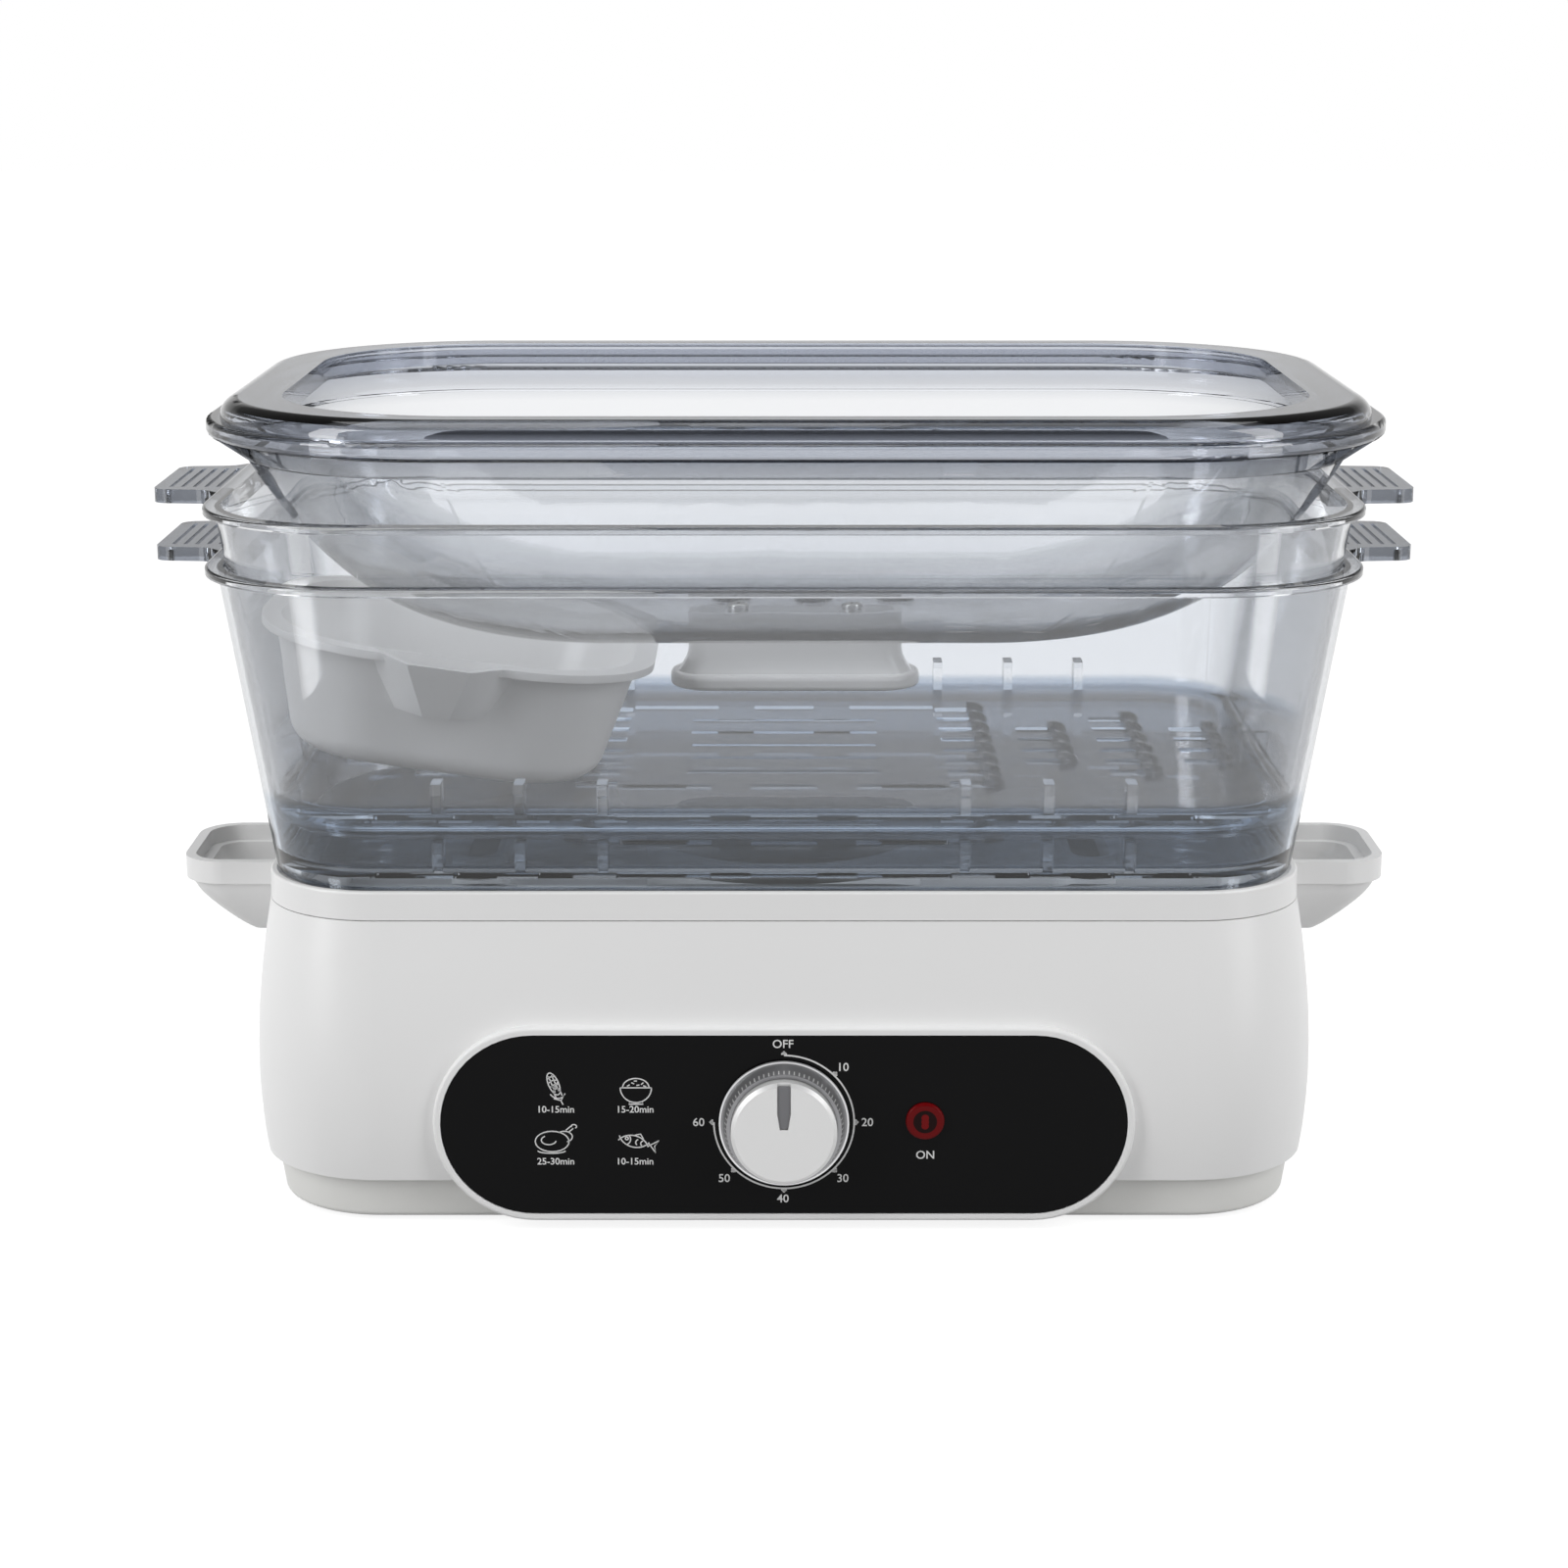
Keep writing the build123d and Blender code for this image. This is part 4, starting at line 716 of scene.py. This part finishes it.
def dial_marks():
    """Arc from off to the last setting, with an arrowhead at each number."""
    strokes = [arc(*dial_centre, dial_radius, dial_radius, 90, -180, 90)]
    for minutes in range(0, 61, 10):
        angle = math.radians(90.0 - degrees_in_minute * minutes)
        for width in arrow_half_widths:
            tip_radius = dial_radius + arrow_reach - width
            x, z = dial_point(minutes, tip_radius)
            side_x, side_z = -math.sin(angle) * width, math.cos(angle) * width
            strokes.append([(x - side_x, z - side_z), (x + side_x, z + side_z)])
    return strokes


def print_strokes():
    """The dial's line work and the four food pictures."""
    dial = ribbon(dial_marks(), dial_line_width)
    new_piece("dial_arc", dial, "base", "print_white")
    pictures = {
        "icon_maize": maize_icon(-67.2, 44.6),
        "icon_rice": rice_icon(-43.6, 43.9),
        "icon_roast": roast_icon(-67.9, 28.8),
        "icon_fish": fish_icon(-43.4, 28.0),
    }
    for name, strokes in pictures.items():
        picture = ribbon(strokes, picture_line_width)
        new_piece(name, picture, "base", "print_white")


capital_share = 0.70
letter_half_thickness = 0.00002
letter_spread = 0.00003
weld_distance = 0.000001
number_height = 2.5
time_height = 2.05


def weld(mesh):
    """Join a mesh's open seams and turn its faces outwards."""
    shape = bmesh.new()
    shape.from_mesh(mesh)
    bmesh.ops.remove_doubles(shape, verts=shape.verts, dist=weld_distance)
    bmesh.ops.recalc_face_normals(shape, faces=shape.faces)
    shape.to_mesh(mesh)
    shape.free()


def print_word(name, text, x, z, height):
    """Printed word on the panel, centred at a place, capitals of one height in millimetres."""
    data = bpy.data.curves.new(name, "FONT")
    data.body = text
    data.align_x = "CENTER"
    data.align_y = "CENTER"
    data.size = height / capital_share * MM
    data.resolution_u = 3
    data.extrude = letter_half_thickness
    data.offset = letter_spread
    word = bpy.data.objects.new(name, data)
    scene.collection.objects.link(word)
    bpy.context.view_layer.update()
    depsgraph = bpy.context.evaluated_depsgraph_get()
    mesh = bpy.data.meshes.new_from_object(word.evaluated_get(depsgraph))
    bpy.data.objects.remove(word)
    centre_y = (print_front_y + print_back_y) / 2
    stand = Matrix.Translation((x * MM, centre_y, z * MM)) @ Matrix.Rotation(math.pi / 2, 4, "X")
    mesh.transform(stand)
    weld(mesh)
    new_piece(name, mesh, "base", "print_white")


def print_words():
    """Dial numbers, the lamp's word and the cooking times."""
    print_word("word_off", "OFF", -0.3, 58.3, number_height)
    for minutes, x, z in ((10, 17.3, 51.2), (20, 24.6, 34.1), (30, 17.4, 16.6), (40, -0.3, 10.2),
                          (50, -17.7, 16.6), (60, -25.2, 34.1)):
        print_word(f"number_{minutes}", str(minutes), x, z, number_height)
    print_word("word_on", "ON", 41.8, 23.9, number_height)
    times = (("maize", "10-15min", -67.3, 38.1), ("rice", "15-20min", -43.9, 38.1),
             ("roast", "25-30min", -67.5, 21.9), ("fish", "10-15min", -44.1, 21.9))
    for name, text, x, z in times:
        print_word(f"time_{name}", text, x, z, time_height)


print_strokes()
print_words()


# ---------------------------------------------------------------- repeated pieces

def new_geometry_tree(name, inputs):
    """Geometry node tree with (name, kind) inputs after its geometry input."""
    tree = bpy.data.node_groups.new(name, "GeometryNodeTree")
    tree.interface.new_socket("Geometry", in_out="INPUT", socket_type="NodeSocketGeometry")
    for label, kind in inputs:
        tree.interface.new_socket(label, in_out="INPUT", socket_type=kind)
    tree.interface.new_socket("Geometry", in_out="OUTPUT", socket_type="NodeSocketGeometry")
    return tree, tree.nodes.new("NodeGroupInput"), tree.nodes.new("NodeGroupOutput")


def end_tree(tree, instances, given, out):
    """Real geometry with its material, as the tree's output."""
    real = tree.nodes.new("GeometryNodeRealizeInstances")
    paint = tree.nodes.new("GeometryNodeSetMaterial")
    tree.links.new(instances, real.inputs["Geometry"])
    tree.links.new(real.outputs["Geometry"], paint.inputs["Geometry"])
    tree.links.new(given.outputs["Material"], paint.inputs["Material"])
    tree.links.new(paint.outputs["Geometry"], out.inputs["Geometry"])


def copies_on_points():
    """Tree that sets one copy of a shape on each point, turned by the point's own angle."""
    tree, given, out = new_geometry_tree("copies_on_points", [
        ("Shape", "NodeSocketObject"), ("Scale", "NodeSocketFloat"),
        ("Material", "NodeSocketMaterial")])
    shape = tree.nodes.new("GeometryNodeObjectInfo")
    tree.links.new(given.outputs["Shape"], shape.inputs["Object"])
    angle = tree.nodes.new("GeometryNodeInputNamedAttribute")
    angle.data_type = "FLOAT"
    angle.inputs["Name"].default_value = "angle"
    turn = tree.nodes.new("ShaderNodeCombineXYZ")
    tree.links.new(angle.outputs["Attribute"], turn.inputs["Z"])
    rotation = tree.nodes.new("FunctionNodeEulerToRotation")
    tree.links.new(turn.outputs["Vector"], rotation.inputs["Euler"])
    place = tree.nodes.new("GeometryNodeInstanceOnPoints")
    tree.links.new(given.outputs["Geometry"], place.inputs["Points"])
    tree.links.new(shape.outputs["Geometry"], place.inputs["Instance"])
    tree.links.new(rotation.outputs["Rotation"], place.inputs["Rotation"])
    tree.links.new(given.outputs["Scale"], place.inputs["Scale"])
    end_tree(tree, place.outputs["Instances"], given, out)
    return tree


copies_tree = copies_on_points()


def set_inputs(modifier, values):
    """Set a geometry modifier's inputs by the identifiers of their named sockets."""
    for socket in modifier.node_group.interface.items_tree:
        if socket.in_out == "INPUT" and socket.name in values:
            modifier[socket.identifier] = values[socket.name]


def grown(name, shape_mesh, places, stand, body, finish):
    """One mesh of copies of a shape at (x, y, z, angle) places, then moved to its stand."""
    shape = bpy.data.objects.new(f"{name}_shape", shape_mesh)
    scene.collection.objects.link(shape)
    mesh = bpy.data.meshes.new(f"{name}_points")
    mesh.from_pydata([place[:3] for place in places], [], [])
    angle = mesh.attributes.new("angle", "FLOAT", "POINT")
    angle.data.foreach_set("value", [place[3] for place in places])
    host = bpy.data.objects.new(name, mesh)
    scene.collection.objects.link(host)
    modifier = host.modifiers.new("copies", "NODES")
    modifier.node_group = copies_tree
    set_inputs(modifier, {"Shape": shape, "Scale": 1.0, "Material": finishes[finish]})
    bpy.context.view_layer.update()
    depsgraph = bpy.context.evaluated_depsgraph_get()
    made = bpy.data.meshes.new_from_object(host.evaluated_get(depsgraph))
    host.modifiers.remove(modifier)
    bpy.data.objects.remove(host)
    bpy.data.objects.remove(shape)
    made.transform(stand)
    return new_piece(name, made, body, finish)


def closed_mesh(name, rings):
    """Closed skin over rings of points, one above the other, with a cap at each end."""
    count = len(rings[0])
    points = [point for ring in rings for point in ring]
    faces = [tuple(reversed(range(count)))]
    for level in range(len(rings) - 1):
        for index in range(count):
            a = level * count + index
            b = level * count + (index + 1) % count
            faces.append((a, b, b + count, a + count))
    top = (len(rings) - 1) * count
    faces.append(tuple(range(top, top + count)))
    mesh = bpy.data.meshes.new(name)
    mesh.from_pydata(points, [], faces)
    return mesh


def dial_stand(y):
    """Move from a flat drawing about the origin to the timer's axis, facing the front."""
    return Matrix.Translation((0.0, y, dial_centre[1] * MM)) @ Matrix.Rotation(math.pi / 2, 4, "X")


rib_count = 72
rib_half_width = 0.16 * MM
rib_height = 0.10 * MM
rib_root = 0.3 * MM
knob_ring_radius = 18.4 * MM
knob_shoulder_radius = 17.0 * MM
knob_ring_depth = 1.7 * MM


def rib_outline(radius, level):
    """Four corners of a rib's section on the knob's cone."""
    inner, outer = radius - rib_root, radius + rib_height
    return [(inner, -rib_half_width, level), (outer, -rib_half_width, level),
            (outer, rib_half_width, level), (inner, rib_half_width, level)]


def knob_ribs():
    """Fine ribs on the knob's cone, from the outer ring up to its shoulder."""
    low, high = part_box("timer_knob")
    skirt = high.y - knob_ring_depth - low.y
    foot = rib_outline(knob_ring_radius, 0.0)
    head = rib_outline(knob_shoulder_radius, skirt - rib_root)
    rib = closed_mesh("rib", [foot, head])
    places = [(0.0, 0.0, 0.0, 2 * math.pi * index / rib_count) for index in range(rib_count)]
    grown("knob_ribs", rib, places, dial_stand(low.y + skirt), "timer_dial",
          "silver_bright")


in_place = Matrix.Identity(4)
lower_floor_top = 0.1072
upper_floor_top = 0.1250
first_column_x = 57.0
column_pitch = 25.0
slot_counts = (8, 4, 6, 4)
slot_pitch = 15.0
hood_offset = 4.0
hood_reach = 6.2
hood_half_length = 4.3
hood_levels = ((-0.2, 1.0), (1.1, 0.94), (2.0, 0.78), (2.6, 0.52), (2.8, 0.2))
hood_steps = 10


def louvre_hood():
    """Scoop that bulges to the left beside a steam slot, flat on its open side."""
    rings = []
    for z, share in hood_levels:
        ring = []
        for index in range(hood_steps + 1):
            angle = math.radians(90 + 180 * index / hood_steps)
            ring.append((hood_reach * share * math.cos(angle) * MM,
                         hood_half_length * share * math.sin(angle) * MM, z * MM))
        rings.append(ring)
    return closed_mesh("hood", rings)


def is_under(place, guest):
    """Whether a scoop here would reach below the guest, a piece that lies on the floor."""
    if guest is None:
        return False
    x, y = place[:2]
    low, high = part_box(guest)
    reach = hood_reach * MM
    return low.x - reach < x < high.x + reach and low.y - reach < y < high.y + reach


def basket_louvres(body, floor_z, guest=None):
    """Scoops at the outer ends of the cross slots of one basket floor, in a near-black tint that is
    painted shade.
    """
    places = []
    for column, count in enumerate(slot_counts):
        x = (first_column_x + column_pitch * column + hood_offset) * MM
        for index in range(count):
            y = (index - (count - 1) / 2) * slot_pitch * MM
            pair = [(-x, y, floor_z, 0.0), (x, y, floor_z, math.pi)]
            places += [place for place in pair if not is_under(place, guest)]
    grown(f"{body}_louvres", louvre_hood(), places, in_place, body, "smoky_painted_shade")


def tube(name, radius_out, radius_in, low, high, steps=40):
    """Closed ring between two radii and two heights."""
    points = []
    for radius, z in ((radius_out, low), (radius_out, high), (radius_in, high), (radius_in, low)):
        for index in range(steps):
            angle = 2 * math.pi * index / steps
            points.append((radius * math.cos(angle), radius * math.sin(angle), z))
    faces = []
    for level in range(4):
        for index in range(steps):
            a = level * steps + index
            b = level * steps + (index + 1) % steps
            c = (level + 1) % 4 * steps
            faces.append((a, b, c + (index + 1) % steps, c + index))
    mesh = bpy.data.meshes.new(name)
    mesh.from_pydata(points, [], faces)
    return mesh


vent_middle_x = 9.5
vent_y = 17.0
vent_pitch = 26.3
vent_outer_radius = 6.1 * MM
vent_inner_radius = 5.5 * MM
vent_wall_low = 2.2 * MM
vent_wall_high = 3.6 * MM


def vent_edges():
    """Near-black rings as the walls of the three steam vents in the lid's crown: painted shade where
    the vents look dark.
    """
    low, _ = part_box("lid")
    ring = tube("vent_painted_shade", vent_outer_radius, vent_inner_radius, low.z + vent_wall_low,
                low.z + vent_wall_high)
    places = [((vent_middle_x + vent_pitch * index) * MM, vent_y * MM, 0.0, 0.0)
              for index in (-1, 0, 1)]
    grown("vent_edges", ring, places, in_place, "lid", "vent_painted_shade")


knob_ribs()
basket_louvres("lower_basket", lower_floor_top)
basket_louvres("upper_basket", upper_floor_top, "rice_bowl")
vent_edges()


# ---------------------------------------------------------------- render settings


scene.view_settings.view_transform = "Standard"
scene.cycles.max_bounces = 32
scene.cycles.transmission_bounces = 32
scene.cycles.transparent_max_bounces = 48
scene.cycles.caustics_reflective = False
scene.cycles.caustics_refractive = False
